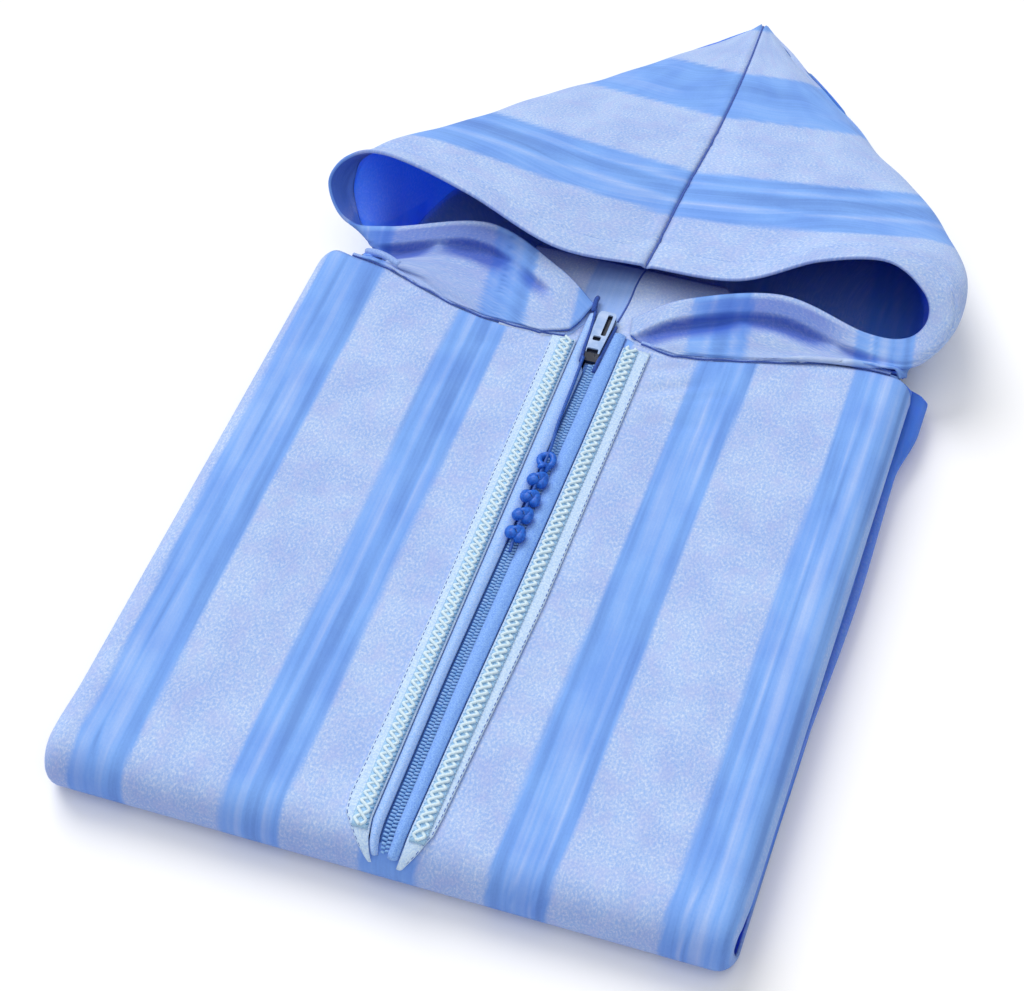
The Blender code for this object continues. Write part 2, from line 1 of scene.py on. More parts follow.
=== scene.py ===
"""The looks of a folded, hooded, zip-fronted cotton robe, laid over its CAD model.

Sizes in the tables are in millimetres and follow the garment: x = 0 is the zip, y = 0 the front
fold, z = 0 the table. placed() turns them into metres in the part's own frame.
"""

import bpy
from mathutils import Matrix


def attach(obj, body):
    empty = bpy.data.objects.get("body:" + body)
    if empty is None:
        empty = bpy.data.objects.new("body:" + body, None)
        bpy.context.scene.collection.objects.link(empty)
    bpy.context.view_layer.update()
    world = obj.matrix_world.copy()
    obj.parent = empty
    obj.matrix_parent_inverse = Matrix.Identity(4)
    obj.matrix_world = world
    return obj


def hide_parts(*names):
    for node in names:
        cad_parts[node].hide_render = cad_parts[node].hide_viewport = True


bl_info = {
    "name": "Folded hooded robe",
    "version": (1, 0, 0),
    "blender": (4, 5, 0),
    "location": "View3D > Sidebar > Robe",
    "description": "Builds the cloth, zip, trim and studio of a folded hooded robe",
    "category": "Add Mesh",
}

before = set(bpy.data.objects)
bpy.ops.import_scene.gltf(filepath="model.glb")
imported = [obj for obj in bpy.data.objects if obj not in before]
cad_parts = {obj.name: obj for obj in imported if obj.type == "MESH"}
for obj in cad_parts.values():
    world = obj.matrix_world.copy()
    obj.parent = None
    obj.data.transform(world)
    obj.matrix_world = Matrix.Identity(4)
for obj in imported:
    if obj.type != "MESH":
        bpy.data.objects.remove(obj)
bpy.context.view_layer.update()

from math import cos, pi, radians, sin

import bmesh
import bpy
import numpy as np
from bpy.props import FloatProperty, FloatVectorProperty
from mathutils import Matrix, Vector

MM = 0.001

# The folded packet
HALF_WIDTH = 160.0
THICKNESS = 34.0
FOLD = THICKNESS / 2
LENGTH = 355.0
ORIGIN_Y = LENGTH / 2
REAR_BEND = 338.0
REAR_RADIUS = 18.0
CROWN_DROP = 1.5
UNDERSIDE_END = 335.0
SIDE_ROLL_TOP = 12.0
SIDE_ROLL_NOSE = 8.0
SIDE_ROLL_UNDER = 5.0
CORNER_PULL = 1.5
LEFT_TAPER = 6.8
RIGHT_TAPER = 2.5
BACK_RADIUS = 15.45
SEAM_HALF_GAP = 0.1
PEAK_HALF_GAP = 0.5

# The front's mesh: its rows on the underside, measured from the nose, where its straight rows end
# and bend to the neckline, and the columns on each side of the slit
UNDERSIDE_ROWS = (280, 240, 200, 160, 120, 80, 45, 20, 6)
FRONT_ROWS_END = 290.0
FRONT_HALF_COLUMNS = 79

# The folded layers at the sides: how many, how deep, how far each is set in, and the step in at
# their rear end
LAYER_COUNT = 3
LAYER_DEPTH = 13.0
LAYER_INSETS = (0.9, 0.0, 0.6)
LAYER_REAR_STEP = 12.0
# Left and right: their rear end, the step in at their front end, and the run of the one at the rear
LAYER_ENDS = {-1: (REAR_BEND + 9, 12.0, 17.0), 1: (REAR_BEND + 19, 4.0, 7.0)}

# The slider
SLIDER_FOOT = 306.0
SLIDER_MIDDLE = 0.9
SLIDER_HALF_WIDTH = 4.7
SLIDER_BASE = 32.6
SLIDER_TOP = 38.6
SLIDER_FOOT_DROP = 3.4
# Half its outline: the share of its half width, and the place along the packet
SLIDER_OUTLINE = ((0.72, 306.0), (0.78, 311), (0.9, 320), (1.0, 328), (1.0, 336.5), (0.86, 338.4),
                  (0.6, 339))
# Its slots: low and high across from its middle, then low and high along the packet
SLIDER_SLOTS = ((0.5, 3.1, 321.8, 337.0), (-2.7, 1.4, 317.6, 320.9), (-3.3, 2.7, 309.4, 312.0),
                (1.2, 2.7, 307.6, 311.0))

# The front's slit for the zip
SLIT_LEFT = -9.2
SLIT_FOOT = FOLD - FOLD * pi * 2 / 9

# Neckline: where it lies along the packet at each width
NECK_X = (
    -160, -140, -120, -100, -80, -60, -40, -28, -15, -9, 14, 22, 40, 60, 80, 100, 120, 140, 160)
NECK_Y = (
    350, 342, 338, 330, 323, 319, 318, 317, 322, 334, 328, 325, 322, 326, 331, 337, 345, 348, 350)

# Placket: along, outer left, inner left, inner right, outer right
PLACKET = (
    (-8.0, -5.6, -4.6, 5.2, 6.2),
    (-4.0, -7.5, -5.6, 6.0, 8.5),
    (5.0, -15.0, -8.6, 7.6, 14.5),
    (14.0, -22.0, -9.8, 8.4, 18.8),
    (22.0, -23.4, -9.8, 8.6, 19.6),
    (70.0, -22.6, -9.9, 9.6, 22.0),
    (150.0, -22.4, -10.0, 11.6, 26.0),
    (250.0, -22.8, -10.0, 13.6, 27.6),
    (345.0, -23.0, -10.0, 14.4, 29.0),
)

# Stripes woven into the cloth across the front: start and end at the foot, then at the neck
FRONT_STRIPES = (
    (-151.0, -125.0, -156.0, -121.0),
    (-78.0, -50.0, -74.5, -47.0),
    (-12.0, 14.0, -8.0, 18.0),
    (46.0, 75.0, 54.0, 82.0),
    (125.0, 157.0, 130.0, 162.0),
)

# Tonal lines in the stripes: share of the width, half width as a share, and how much lighter
TONE_LINES = (
    ((0.20, 0.10, 0.16), (0.36, 0.02, -0.3), (0.43, 0.02, 0.2), (0.58, 0.08, 0.2),
     (0.86, 0.10, -0.22)),
    ((0.34, 0.05, 0.3), (0.46, 0.03, -0.12), (0.60, 0.12, -0.26), (0.76, 0.05, 0.26),
     (0.93, 0.06, -0.1)),
    ((0.3, 0.08, 0.1), (0.7, 0.1, -0.1)),
    ((0.14, 0.08, -0.16), (0.30, 0.05, 0.14), (0.44, 0.03, 0.3), (0.60, 0.07, 0.08), (0.74, 0.03, 0.26),
     (0.88, 0.09, -0.2)),
    ((0.10, 0.08, -0.05), (0.27, 0.025, 0.34), (0.35, 0.03, -0.24), (0.50, 0.08, 0.34),
     (0.64, 0.03, -0.12), (0.74, 0.08, 0.1), (0.88, 0.06, -0.34)),
)

# Soft creases of the front: from x, y to x, y, half width and height
CREASES = (
    (-90, 214, -34, 219, 9, -1.1),
    (-84, 138, -30, 128, 10, -1.2),
    (30, 106, 62, 112, 8, -1.0),
    (34, 150, 92, 140, 11, -1.1),
    (30, 272, 74, 284, 5, -1.3),
    (30, 294, 62, 311, 3.2, -1.5),
    (44, 292, 74, 306, 3.0, -0.9),
    (30, 310, 52, 320, 2.6, -1.0),
    (-70, 300, -34, 309, 4, -0.8),
    (-120, 60, -60, 66, 14, -0.9),
    (70, 50, 130, 62, 14, -0.8),
    (-140, 290, -96, 280, 12, -0.9),
    (96, 236, 140, 224, 12, -0.9),
    (-150, 180, -110, 172, 10, 0.8),
    (90, 180, 140, 190, 13, 0.8),
)

# Hood: a row for each section from the hem to the back seam, and in it the points from the neck
# seam (first) over the side fold (sixth) to the crown seam (last)
HOOD_ROWS = (0.0, 0.1, 0.25, 0.5, 0.75, 1.0)
HOOD_LEFT = (
    ((-8, 343, 37), (-33, 357, 44), (-76, 374, 47), (-127, 364, 38), (-154, 368, 31), (-168, 381, 43),
     (-160, 390, 57), (-138, 391, 64), (-88, 377, 63), (-34, 361, 56), (12, 369, 48)),
    ((-20, 320, 36), (-45, 333, 38), (-85, 355, 38), (-126, 350, 35), (-146, 368, 27), (-161, 385, 38),
     (-157, 395, 53), (-136, 399, 59), (-90, 386, 62), (-34, 377, 56), (13, 383, 47.5)),
    ((-78, 324, 35.5), (-95, 334, 36.5), (-113, 341, 36), (-127, 348, 31), (-134, 360, 24), (-147, 392, 32),
     (-149, 408, 46), (-137, 414, 54), (-92, 414, 56), (-34, 421, 48.5), (13.5, 428, 41.5)),
    ((-138, 347, 29), (-137, 356, 22), (-134, 368, 12), (-131, 386, 3), (-126, 415, 0), (-125, 440, 14),
     (-126, 449, 31), (-112, 458, 39.5), (-70, 469, 38), (-25, 487, 34.5), (16, 497, 31.5)),
    ((-76, 350, 29.5), (-78, 363, 27), (-80, 379, 15), (-82, 401, 1.5), (-82, 470, 0), (-71, 533, 5),
     (-63, 543, 11), (-50.5, 549.5, 16), (-30.5, 556, 18.5), (-8, 561.5, 19), (15, 567, 19)),
    ((11, 350, 29.5), (11, 367, 31), (11, 387, 25), (11, 409, 3), (11, 510, 0), (11, 620.5, 0.6),
     (10.5, 624, 2), (10.5, 626, 4), (11, 625.8, 6), (11.5, 624.5, 7.4), (12, 622.5, 8.4)),
)
HOOD_RIGHT = (
    ((13, 339, 37), (38, 355, 44), (84, 369, 47), (128, 365, 38), (150, 368, 37.5), (159, 376, 46),
     (154, 386, 56), (132, 394.5, 64), (98, 388, 60), (60, 371.5, 51), (12, 369, 48)),
    ((20, 326, 36), (42, 332, 37.5), (84, 345, 37), (122, 351, 35), (153, 358, 33), (169, 374, 44),
     (165, 391, 58), (140, 403, 64), (102, 399, 60), (60, 385, 51), (13, 383, 47.5)),
    ((84, 334, 35.5), (104, 341, 36), (126, 347, 34.5), (147, 354, 29), (161, 366, 28), (173, 387, 40),
     (171, 408, 50), (150, 420, 55), (107, 423, 54), (62, 426, 48), (13.5, 428, 41.5)),
    ((152, 352, 25), (153, 360, 18), (152, 372, 8), (152, 392, 1.5), (151, 425, 0), (151, 452, 12),
     (148, 466, 25), (126, 488, 31), (90, 493, 34), (50, 495, 33.5), (16, 497, 31.5)),
    ((82, 350, 29.5), (84, 363, 27), (86, 379, 15), (88, 402, 2), (89, 470, 0), (90, 543, 5),
     (81, 551, 11), (66.5, 557.5, 16), (50, 561, 18.3), (32.5, 564, 18.8), (15, 567, 19)),
    ((11, 350, 29.5), (11, 367, 31), (11, 387, 25), (11, 409, 3), (11, 510, 0), (13, 620.5, 0.6),
     (13.5, 624, 2), (14, 626, 4), (13.5, 625.8, 6), (12.7, 624.5, 7.4), (12, 622.5, 8.4)),
)

# The hood half's mesh: columns from the neck seam to the crown seam, and rows close together near
# the hem and further apart past it
HOOD_COLUMNS = 181
NEAR_HEM = 0.12
NEAR_HEM_ROWS = 34
PAST_HEM_ROWS = 92
# The columns of the hem whose stitches show, and a row past the cheeks: beyond them the yarn runs
# as it does in this row
STITCHED_COLUMNS = slice(74, -6)
YARN_ROW = 60

# Where the hood's halves are sewn on behind the neck: along the packet, and how high
BACK_NECK = (349.0, 28.2)
NECK_SEAM_EASE = 1.6
NECK_SEAM_RISE = 1.4
COLLAR_RISE = 1.4
HOOD_FLOOR = 0.9

# The turned hem: its width, the turns of the curl round its edge, and over how many rows a pleat
# presses its hidden layer down
HEM_BAND = 13.0
HEM_CURL = (pi, 0.84 * pi, 0.68 * pi, 0.52 * pi, 0.36 * pi, 0.18 * pi)
HEM_REACH = 12

# Woven bands that cross the hood's crown, how far they drift across and along the packet for
# each millimetre that the cloth rises, and how they sag to the sides: across, and by how much
HOOD_BANDS = ((421.0, 460.0), (510.0, 553.0), (597.0, 640.0))
BAND_DRIFT = (0.264, 0.810)
BAND_SAG = ((-125, -60, 0, 14, 60, 90, 140), (15, 5, 0, -1, 5, 10, 22))

# Stripes on its cheeks and behind the neck
CHEEK_STRIPES = ((-66.0, -41.0), (44.0, 74.0), (-17.0, 10.0), (-150.0, -122.0), (128.0, 158.0))

# Pleats under the cheeks' hems: middle, half width, fall and run
CHEEK_PLEATS = (
    (-115, 14, 5.0, 15.0),
    (-78, 18, 6.0, 15.0),
    (-42, 9, 3.0, 10.0),
    (46, 26, 6.0, 15.0),
    (88, 24, 5.5, 11.0),
    (130, 12, 3.0, 9.0),
)

# Puckers across the crown seam: how far from the hem, half length and rise
SEAM_PUCKERS = (
    (6, 5, 0.6), (21, 1.6, -0.9), (27, 3, 0.7), (60, 2, -0.5), (75, 1.4, -0.7), (82, 3, 0.5),
    (118, 1.6, -0.9), (124, 3.5, 0.6), (131, 1.5, -0.7), (150, 2, 0.5), (176, 1.5, -0.6), (205, 3, 0.5),
)

# The pull cord's route from the slider, and on through its knots
CORD_ROUTE = ((-2.6, 305.4, 38.0), (-2.4, 300, 37.6), (-2.0, 288, 37.2), (-1.6, 270, 37.1),
              (-1.0, 255, 37.6), (0.4, 244, 38.8), (1.0, 237, 40.0), (1.0, 225, 40.2),
              (1.0, 205, 40.0), (1.0, 188, 40.0), (1.1, 180, 39.2), (1.6, 173, 38.0))
CORD_DIAMETER = 1.6

# The knots: their middle across and high, then each one's place along the packet and its tilt
KNOTS_X = 1.0
KNOTS_Z = 40.0
KNOTS = ((218.4, 0.1), (206.6, -0.12), (195.0, 0.08), (183.2, -0.05))

# The collar's strip behind the neck: its width, its height at places along the packet, and where
# its top edge slopes down at the right
COLLAR_X = (-52, 60)
COLLAR_HEIGHTS = ((318, 330, 350, 358, 367, 377, 387), (33.8, 33.9, 33.1, 33.0, 32.8, 31.1, 27.6))
COLLAR_TOP = ((52, 60), (386.0, 372.0))

# Routes of the seam behind the neck, of the tapes' corded edges beside the slider, of the stop at
# the left tape's end, and of the seam's layers where they are rolled over at the neckline's left
NAPE_ROUTE = ((6.0, 338, 33.8), (6.6, 344, 33.5), (7.2, 351, 33.2), (7.5, 358, 33.1),
              (7.4, 366, 32.9), (7.6, 375, 31.6), (8.2, 386, 28.2))
TAPE_END_ROUTES = (
    ((-7.6, 345, 36.4), (-6.2, 338, 36.2), (-5.0, 328, 36.0), (-4.4, 316, 36.0), (-3.6, 304, 35.6)),
    ((7.0, 332, 36.2), (6.3, 324, 36.2), (5.7, 316, 36.0), (5.0, 306, 35.8), (4.6, 299, 35.2)),
)
STOP_ROUTE = ((-7.4, 339, 36.4), (-7.7, 342, 37.0), (-8.0, 345, 37.2), (-8.1, 348, 36.8),
              (-8.1, 349.5, 36.0))
NECK_ROLL_ROUTE = ((-137, 354, 26.5), (-131, 350.3, 31), (-124, 346.6, 33.8), (-114, 341.2, 35.2))

# The neck seam's cord: its left end, where it stops for the zip, where it goes on, its right end
NECK_CORD_ENDS = (-141, -16, 21, 147)

# The camera looks here through this lens, in millimetres, and the lamps shine here, in metres
CAMERA_TARGET = (-0.0183, 0.0597, 0.0)
LENS = 89.65
SENSOR_WIDTH = 36.0
LAMP_TARGET = (0, 0.1, 0)


def linear(colour):
    """An sRGB hex colour as the linear RGBA that shaders take."""
    parts = [int(colour[k:k + 2], 16) / 255 for k in (1, 3, 5)]
    return (*[c / 12.92 if c <= 0.04045 else ((c + 0.055) / 1.055) ** 2.4 for c in parts], 1.0)


def add_node(tree, kind, links=None, output=0, stops=(), **settings):
    """Adds a node with its settings, gives its inputs values or other nodes' outputs, and returns
    one of its outputs. stops are a ramp's (place, colour) pairs."""
    node = tree.nodes.new(kind)
    for name, value in settings.items():
        setattr(node, name, value)
    for _ in stops[2:]:
        node.color_ramp.elements.new(1.0)
    for element, (place, colour) in zip(node.color_ramp.elements if stops else (), stops):
        element.position, element.color = place, colour
    for name, value in (links or {}).items():
        if isinstance(value, bpy.types.NodeSocket):
            tree.links.new(value, node.inputs[name])
        else:
            node.inputs[name].default_value = value
    return node.outputs[output] if len(node.outputs) else node


def new_material(name):
    """An empty material: its node tree and its Principled shader."""
    made = bpy.data.materials.new(name)
    made.use_nodes = True
    made.node_tree.nodes.clear()
    surface = add_node(made.node_tree, "ShaderNodeBsdfPrincipled")
    add_node(made.node_tree, "ShaderNodeOutputMaterial", {"Surface": surface})
    return made, made.node_tree, surface.node


def cloth_noise(tree, across_mm, along_mm, detail=2.0, rough=0.55):
    """Noise on the cloth, in marks about this wide and this long, whatever shape it is bent to."""
    across = add_node(tree, "ShaderNodeAttribute", output=2, attribute_name="across")
    along = add_node(tree, "ShaderNodeAttribute", output=2, attribute_name="along")
    x = add_node(tree, "ShaderNodeMath", {0: across, 1: 1 / across_mm}, operation="MULTIPLY")
    y = add_node(tree, "ShaderNodeMath", {0: along, 1: 1 / along_mm}, operation="MULTIPLY")
    place = add_node(tree, "ShaderNodeCombineXYZ", {"X": x, "Y": y})
    return add_node(
        tree, "ShaderNodeTexNoise",
        {"Vector": place, "Scale": 1.0, "Detail": detail, "Roughness": rough})


def striped_cotton(name, colours, hidden, shade, glow=0.0):
    """Yarn-dyed brushed cotton, woven from flecked heather yarn with plain blue stripes and raised
    to a short nap. The flecks read as pale and lilac marks, the stripes as tonal lines along the
    warp, and the nap leaves it matt with a soft sheen at grazing angles. hidden names the
    attribute that says how deep in a fold it lies, and shade is how far painted shade takes its
    colours there towards a deep blue, where it only sees other cloth. glow, for an inner face, is
    the share of the light that comes through from its other face. Where the inner face lies open
    its colour is painted paler, as painted light."""
    made, tree, surface = new_material(name)
    stripe = add_node(tree, "ShaderNodeAttribute", output=2, attribute_name="stripe")
    tone = add_node(tree, "ShaderNodeAttribute", output=2, attribute_name="tone")
    # The yarn's slubs are about 0.5 x 2 mm; drawn twice as wide so that they show
    fleck = cloth_noise(tree, 1.15, 1.7, 3.0, 0.7)
    lilac = cloth_noise(tree, 9.0, 12.0, 3.0)
    ground = add_node(tree, "ShaderNodeValToRGB", {"Fac": fleck}, stops=(
        (0.33, colours["heather_dark"]), (0.47, colours["heather"]),
        (0.56, colours["heather_light"]), (0.68, colours["fleck"])))
    tint = add_node(tree, "ShaderNodeMapRange", {0: lilac, 1: 0.46, 2: 0.66, 3: 0.0, 4: 0.4})
    ground = add_node(
        tree, "ShaderNodeMix", {0: tint, 6: ground, 7: colours["lilac"]}, output=2,
        data_type="RGBA")
    # Single warp threads are 0.4 mm apart; they show as faint lines about 2 mm apart
    lines = cloth_noise(tree, 2.4, 160.0, 2.0, 0.6)
    lines = add_node(tree, "ShaderNodeMapRange", {0: lines, 1: 0.3, 2: 0.7, 3: -0.12, 4: 0.12})
    slub = add_node(tree, "ShaderNodeMapRange", {0: fleck, 1: 0.3, 2: 0.7, 3: -0.05, 4: 0.05})
    tone = add_node(tree, "ShaderNodeMath", {0: tone, 1: lines}, operation="ADD")
    tone = add_node(tree, "ShaderNodeMath", {0: tone, 1: slub}, operation="ADD")
    blues = add_node(tree, "ShaderNodeValToRGB", {"Fac": tone}, stops=(
        (0.12, colours["stripe_dark"]), (0.46, colours["stripe"]),
        (0.66, colours["stripe_light"]), (0.92, colours["stripe_pale"])))
    colour = add_node(
        tree, "ShaderNodeMix", {0: stripe, 6: ground, 7: blues}, output=2, data_type="RGBA")
    # The nap lies in patches about 30 mm across, a little deeper or lighter
    cloud = add_node(
        tree, "ShaderNodeValToRGB", {"Fac": cloth_noise(tree, 28.0, 34.0)},
        stops=((0.36, linear("#DCE1F4")), (0.62, linear("#FFFFFF"))))
    colour = add_node(
        tree, "ShaderNodeMix", {0: 0.5, 6: colour, 7: cloud}, output=2, data_type="RGBA",
        blend_type="MULTIPLY")
    # Painted shade: the colour goes towards the deep blue as far as the cloth lies in a fold
    depth = add_node(tree, "ShaderNodeAttribute", output=2, attribute_name=hidden)
    share = add_node(tree, "ShaderNodeMath", {0: depth, 1: shade}, operation="MULTIPLY")
    colour = add_node(
        tree, "ShaderNodeMix", {0: share, 6: colour, 7: colours["deep"]}, output=2, data_type="RGBA")
    tree.links.new(colour, surface.inputs["Base Color"])
    surface.inputs["Roughness"].default_value = 0.93
    surface.inputs["IOR"].default_value = 1.46
    surface.inputs["Specular IOR Level"].default_value = 0.2
    surface.inputs["Sheen Weight"].default_value = 0.08
    surface.inputs["Sheen Roughness"].default_value = 0.5
    surface.inputs["Sheen Tint"].default_value = linear("#DCE6FF")
    if glow:
        # Painted light: the inner face's colour goes paler where it lies open
        colour = add_node(
            tree, "ShaderNodeMix", {0: add_node(tree, "ShaderNodeMapRange", {0: depth, 3: 0.22, 4: 0.0}),
                                    6: colour, 7: colours["fleck"]}, output=2, data_type="RGBA")
        tree.links.new(colour, surface.inputs["Base Color"])
        weight = add_node(tree, "ShaderNodeMath", {0: depth, 1: glow}, operation="MULTIPLY")
        tree.links.new(weight, surface.inputs["Subsurface Weight"])
        surface.inputs["Subsurface Radius"].default_value = (0.35, 0.7, 1.6)
        surface.inputs["Subsurface Scale"].default_value = 0.005
    # Threads are 0.4 mm apart; the relief is drawn at twice that so that it shows
    weave = cloth_noise(tree, 0.8, 1.1, 3.0, 0.7)
    relief = add_node(
        tree, "ShaderNodeBump", {"Strength": 0.45, "Distance": 0.0004, "Height": weave})
    tree.links.new(relief, surface.inputs["Normal"])
    return made


def plain_textile(name, dark, light, thread_mm, roughness=0.85, sheen=0.15):
    """A plain woven, braided or spun textile of one colour: its threads, thread_mm apart, vary
    from dark to light and stand up a little, and it is matt."""
    made, tree, surface = new_material(name)
    place = add_node(tree, "ShaderNodeTexCoord", output=3)
    threads = add_node(
        tree, "ShaderNodeTexNoise",
        {"Vector": place, "Scale": 1 / (thread_mm * MM), "Detail": 2.0, "Roughness": 0.6})
    colour = add_node(
        tree, "ShaderNodeValToRGB", {"Fac": threads}, stops=((0.34, dark), (0.66, light)))
    tree.links.new(colour, surface.inputs["Base Color"])
    relief = add_node(
        tree, "ShaderNodeBump", {"Strength": 0.4, "Distance": 0.0003, "Height": threads})
    tree.links.new(relief, surface.inputs["Normal"])
    surface.inputs["Roughness"].default_value = roughness
    surface.inputs["IOR"].default_value = 1.5
    surface.inputs["Sheen Weight"].default_value = sheen
    return made


def hard_finish(name, dark, light, patch_mm, roughness, coat=0.0, slot_shade_height=None):
    """A moulded or enamelled surface: nearly even, rubbed a little lighter and smoother in patches
    patch_mm across. Below the slot height, in metres, its colour is painted near black as the shade
    in its narrow slots."""
    made, tree, surface = new_material(name)
    place = add_node(tree, "ShaderNodeTexCoord", output=3)
    wear = add_node(
        tree, "ShaderNodeTexNoise",
        {"Vector": place, "Scale": 1 / (patch_mm * MM), "Detail": 4.0, "Roughness": 0.6})
    colour = add_node(
        tree, "ShaderNodeValToRGB", {"Fac": wear}, stops=((0.35, dark), (0.65, light)))
    if slot_shade_height:
        # Painted shade: the narrow slots are drawn near black below this height
        height = add_node(tree, "ShaderNodeSeparateXYZ", {0: place}, output=2)
        under = add_node(
            tree, "ShaderNodeMath", {0: height, 1: slot_shade_height}, operation="LESS_THAN")
        colour = add_node(
            tree, "ShaderNodeMix", {0: under, 6: colour, 7: linear("#0A1630")}, output=2,
            data_type="RGBA")
    tree.links.new(colour, surface.inputs["Base Color"])
    rough = add_node(
        tree, "ShaderNodeMapRange", {0: wear, 3: roughness + 0.06, 4: roughness - 0.06})
    tree.links.new(rough, surface.inputs["Roughness"])
    surface.inputs["Coat Weight"].default_value = coat
    surface.inputs["IOR"].default_value = 1.5
    return made


def blend(start, end, low, high, value):
    """start below low, end above high, and a smooth step between them."""
    t = np.clip((np.asarray(value, float) - low) / (high - low), 0.0, 1.0)
    return start + (end - start) * t * t * (3 - 2 * t)


def placed(points):
    """Points in millimetres on the garment as metres from the middle of its underside."""
    return (np.asarray(points, float) - (0.0, ORIGIN_Y, 0.0)) * MM


def in_scene(name, data):
    """A new object of this mesh, curve, lamp or lens, put in the scene."""
    thing = bpy.data.objects.new(name, data)
    bpy.context.scene.collection.objects.link(thing)
    return thing


def smooth_mesh(name, points, faces, looks):
    """An object with a smooth mesh through points in millimetres."""
    mesh = bpy.data.meshes.new(name)
    mesh.from_pydata(placed(points).tolist(), [], faces)
    mesh.shade_smooth()
    for look in looks:
        mesh.materials.append(look)
    return in_scene(name, mesh)


def points_at(x, y, z):
    """Points from their coordinates, which may be rows, grids or single numbers."""
    return np.stack(np.broadcast_arrays(x, y, z), axis=-1)


def neck_at(x):
    """Where the neckline crosses the packet at this width."""
    return np.interp(x, NECK_X, NECK_Y)


def placket_at(along, column):
    """An edge of the placket: 1 outer left, 2 inner left, 3 inner right, 4 outer right."""
    table = np.array(PLACKET)
    return np.interp(along, table[:, 0], table[:, column])


def profile(v):
    """The packet's side view at v along the cloth: y, z and the outward direction."""
    v = np.asarray(v, float)
    nose = np.clip((FOLD - v) / FOLD, 0.0, pi)
    y = np.where(v >= FOLD, v, FOLD - FOLD * np.sin(nose))
    z = np.where(v >= FOLD, THICKNESS, FOLD + FOLD * np.cos(nose))
    under = v < FOLD - FOLD * pi
    y = np.where(under, FOLD + (FOLD - FOLD * pi - v), y)
    rear = np.clip((v - REAR_BEND) / REAR_RADIUS, 0.0, pi / 2)
    y = np.where(v > REAR_BEND, REAR_BEND + REAR_RADIUS * np.sin(rear), y)
    z = np.where(v > REAR_BEND, THICKNESS - REAR_RADIUS * (1 - np.cos(rear)), z)
    return y, z, np.sin(rear) - np.sin(nose), np.cos(rear) * np.cos(nose)


def side_roll(v):
    """The radius of the rolled side edge at v along the cloth."""
    foremost = -FOLD * pi / 4
    return np.where(
        np.asarray(v) > foremost, blend(SIDE_ROLL_NOSE, SIDE_ROLL_TOP, foremost, 3 * FOLD, v),
        blend(SIDE_ROLL_UNDER, SIDE_ROLL_NOSE, FOLD - FOLD * pi, foremost, v))


def half_width(v, side):
    """Half the packet's width at v: it widens to the left towards the front."""
    taper = np.where(np.asarray(side) < 0, LEFT_TAPER, RIGHT_TAPER) * (1 - profile(v)[0] / LENGTH)
    foremost = FOLD - FOLD * pi / 2
    nose = np.where(
        np.asarray(v) > foremost, blend(1.0, 0.0, foremost, 2 * FOLD, v),
        blend(0.0, 1.0, FOLD - FOLD * pi, foremost, v))
    return HALF_WIDTH - side * taper - CORNER_PULL * nose


def creases(x, y):
    """How far the top cloth rises at its soft creases, and in its slow, shallow waves."""
    rise = 0.35 * np.sin(x / 31 + y / 57) * np.sin(y / 43 - x / 88) + 0.16 * np.sin(x / 9 + y / 61)
    for x0, y0, x1, y1, half, height in CREASES:
        dx, dy = x1 - x0, y1 - y0
        share = ((x - x0) * dx + (y - y0) * dy) / (dx * dx + dy * dy)
        along = blend(0, 1, -0.15, 0.3, share) * blend(1, 0, 0.7, 1.15, share)
        off = ((x - x0) * dy - (y - y0) * dx) / np.hypot(dx, dy)
        rise = rise + height * along * np.exp(-(off / half) ** 2)
    return rise


def on_packet(s, v, lift=0.0):
    """A point of the top cloth s across and v along it from the zip, lifted off its face. Past
    the flat of the panel it goes round the rolled side edge."""
    s, v = np.broadcast_arrays(np.asarray(s, float), np.asarray(v, float))
    side = np.sign(s)
    y, z, out_y, out_z = profile(v)
    radius = side_roll(v)
    flat = half_width(v, side) - radius
    turn = np.clip((np.abs(s) - flat) / radius, 0.0, 1.9)
    x = np.where(np.abs(s) > flat, side * (flat + radius * np.sin(turn)), s)
    inward = radius * (1 - np.cos(turn))
    top = blend(0, 1, 2 * FOLD, 5 * FOLD, v) * np.cos(np.minimum(turn, pi / 2))
    away = np.cos(turn) * (lift + top * creases(x, y)) - inward
    crown = np.minimum(np.abs(x) / HALF_WIDTH, 1.0) ** 4
    z = z - CROWN_DROP * crown * blend(0, 1, FOLD, 3 * FOLD, v)
    return points_at(x + side * np.sin(turn) * lift, y + out_y * away, z + out_z * away)


def yarn_tone(share, along, number):
    """How light the stripe's yarn is at a share of its width: pale and deep warp lines in it
    that wander a little along the cloth."""
    share = share + 0.02 * np.sin(along / 43 + number)
    tone = 0.46 + 0.06 * np.sin(along / 29 + 2 * number)
    tone = tone + 0.05 * np.sin(along / 11 + number + 9 * share)
    for place, width, light in TONE_LINES[number % len(TONE_LINES)]:
        tone = tone + light * np.exp(-((share - place) / width) ** 2)
    return tone


def in_band(value, low, high, soft):
    """1 between low and high and 0 outside, with soft edges."""
    return blend(0, 1, low - soft, low + soft, value) * blend(1, 0, high - soft, high + soft, value)


def front_stripes(s, v):
    """How much of the stripe's yarn shows on the front, 0 ground to 1 stripe, and its tone."""
    s, v = np.broadcast_arrays(s, v)
    length = np.clip(v / LENGTH, 0, 1)
    found, tone = np.zeros(s.shape), np.full(s.shape, 0.5)
    for number, (low0, high0, low1, high1) in enumerate(FRONT_STRIPES):
        low = low0 + (low1 - low0) * length + 0.5 * np.sin(v / 37 + low0)
        high = high0 + (high1 - high0) * length + 0.5 * np.sin(v / 41 + high0)
        inside = in_band(s, low, high, 0.8)
        tone = np.where(inside > 0, yarn_tone((s - low) / (high - low), v, number), tone)
        found = np.maximum(found, inside)
    # Where the cloth rolls over the packet's right edge its colour goes half way to the stripe's blue
    return np.maximum(found, 0.55 * blend(0, 1, 155, 158, s)), tone


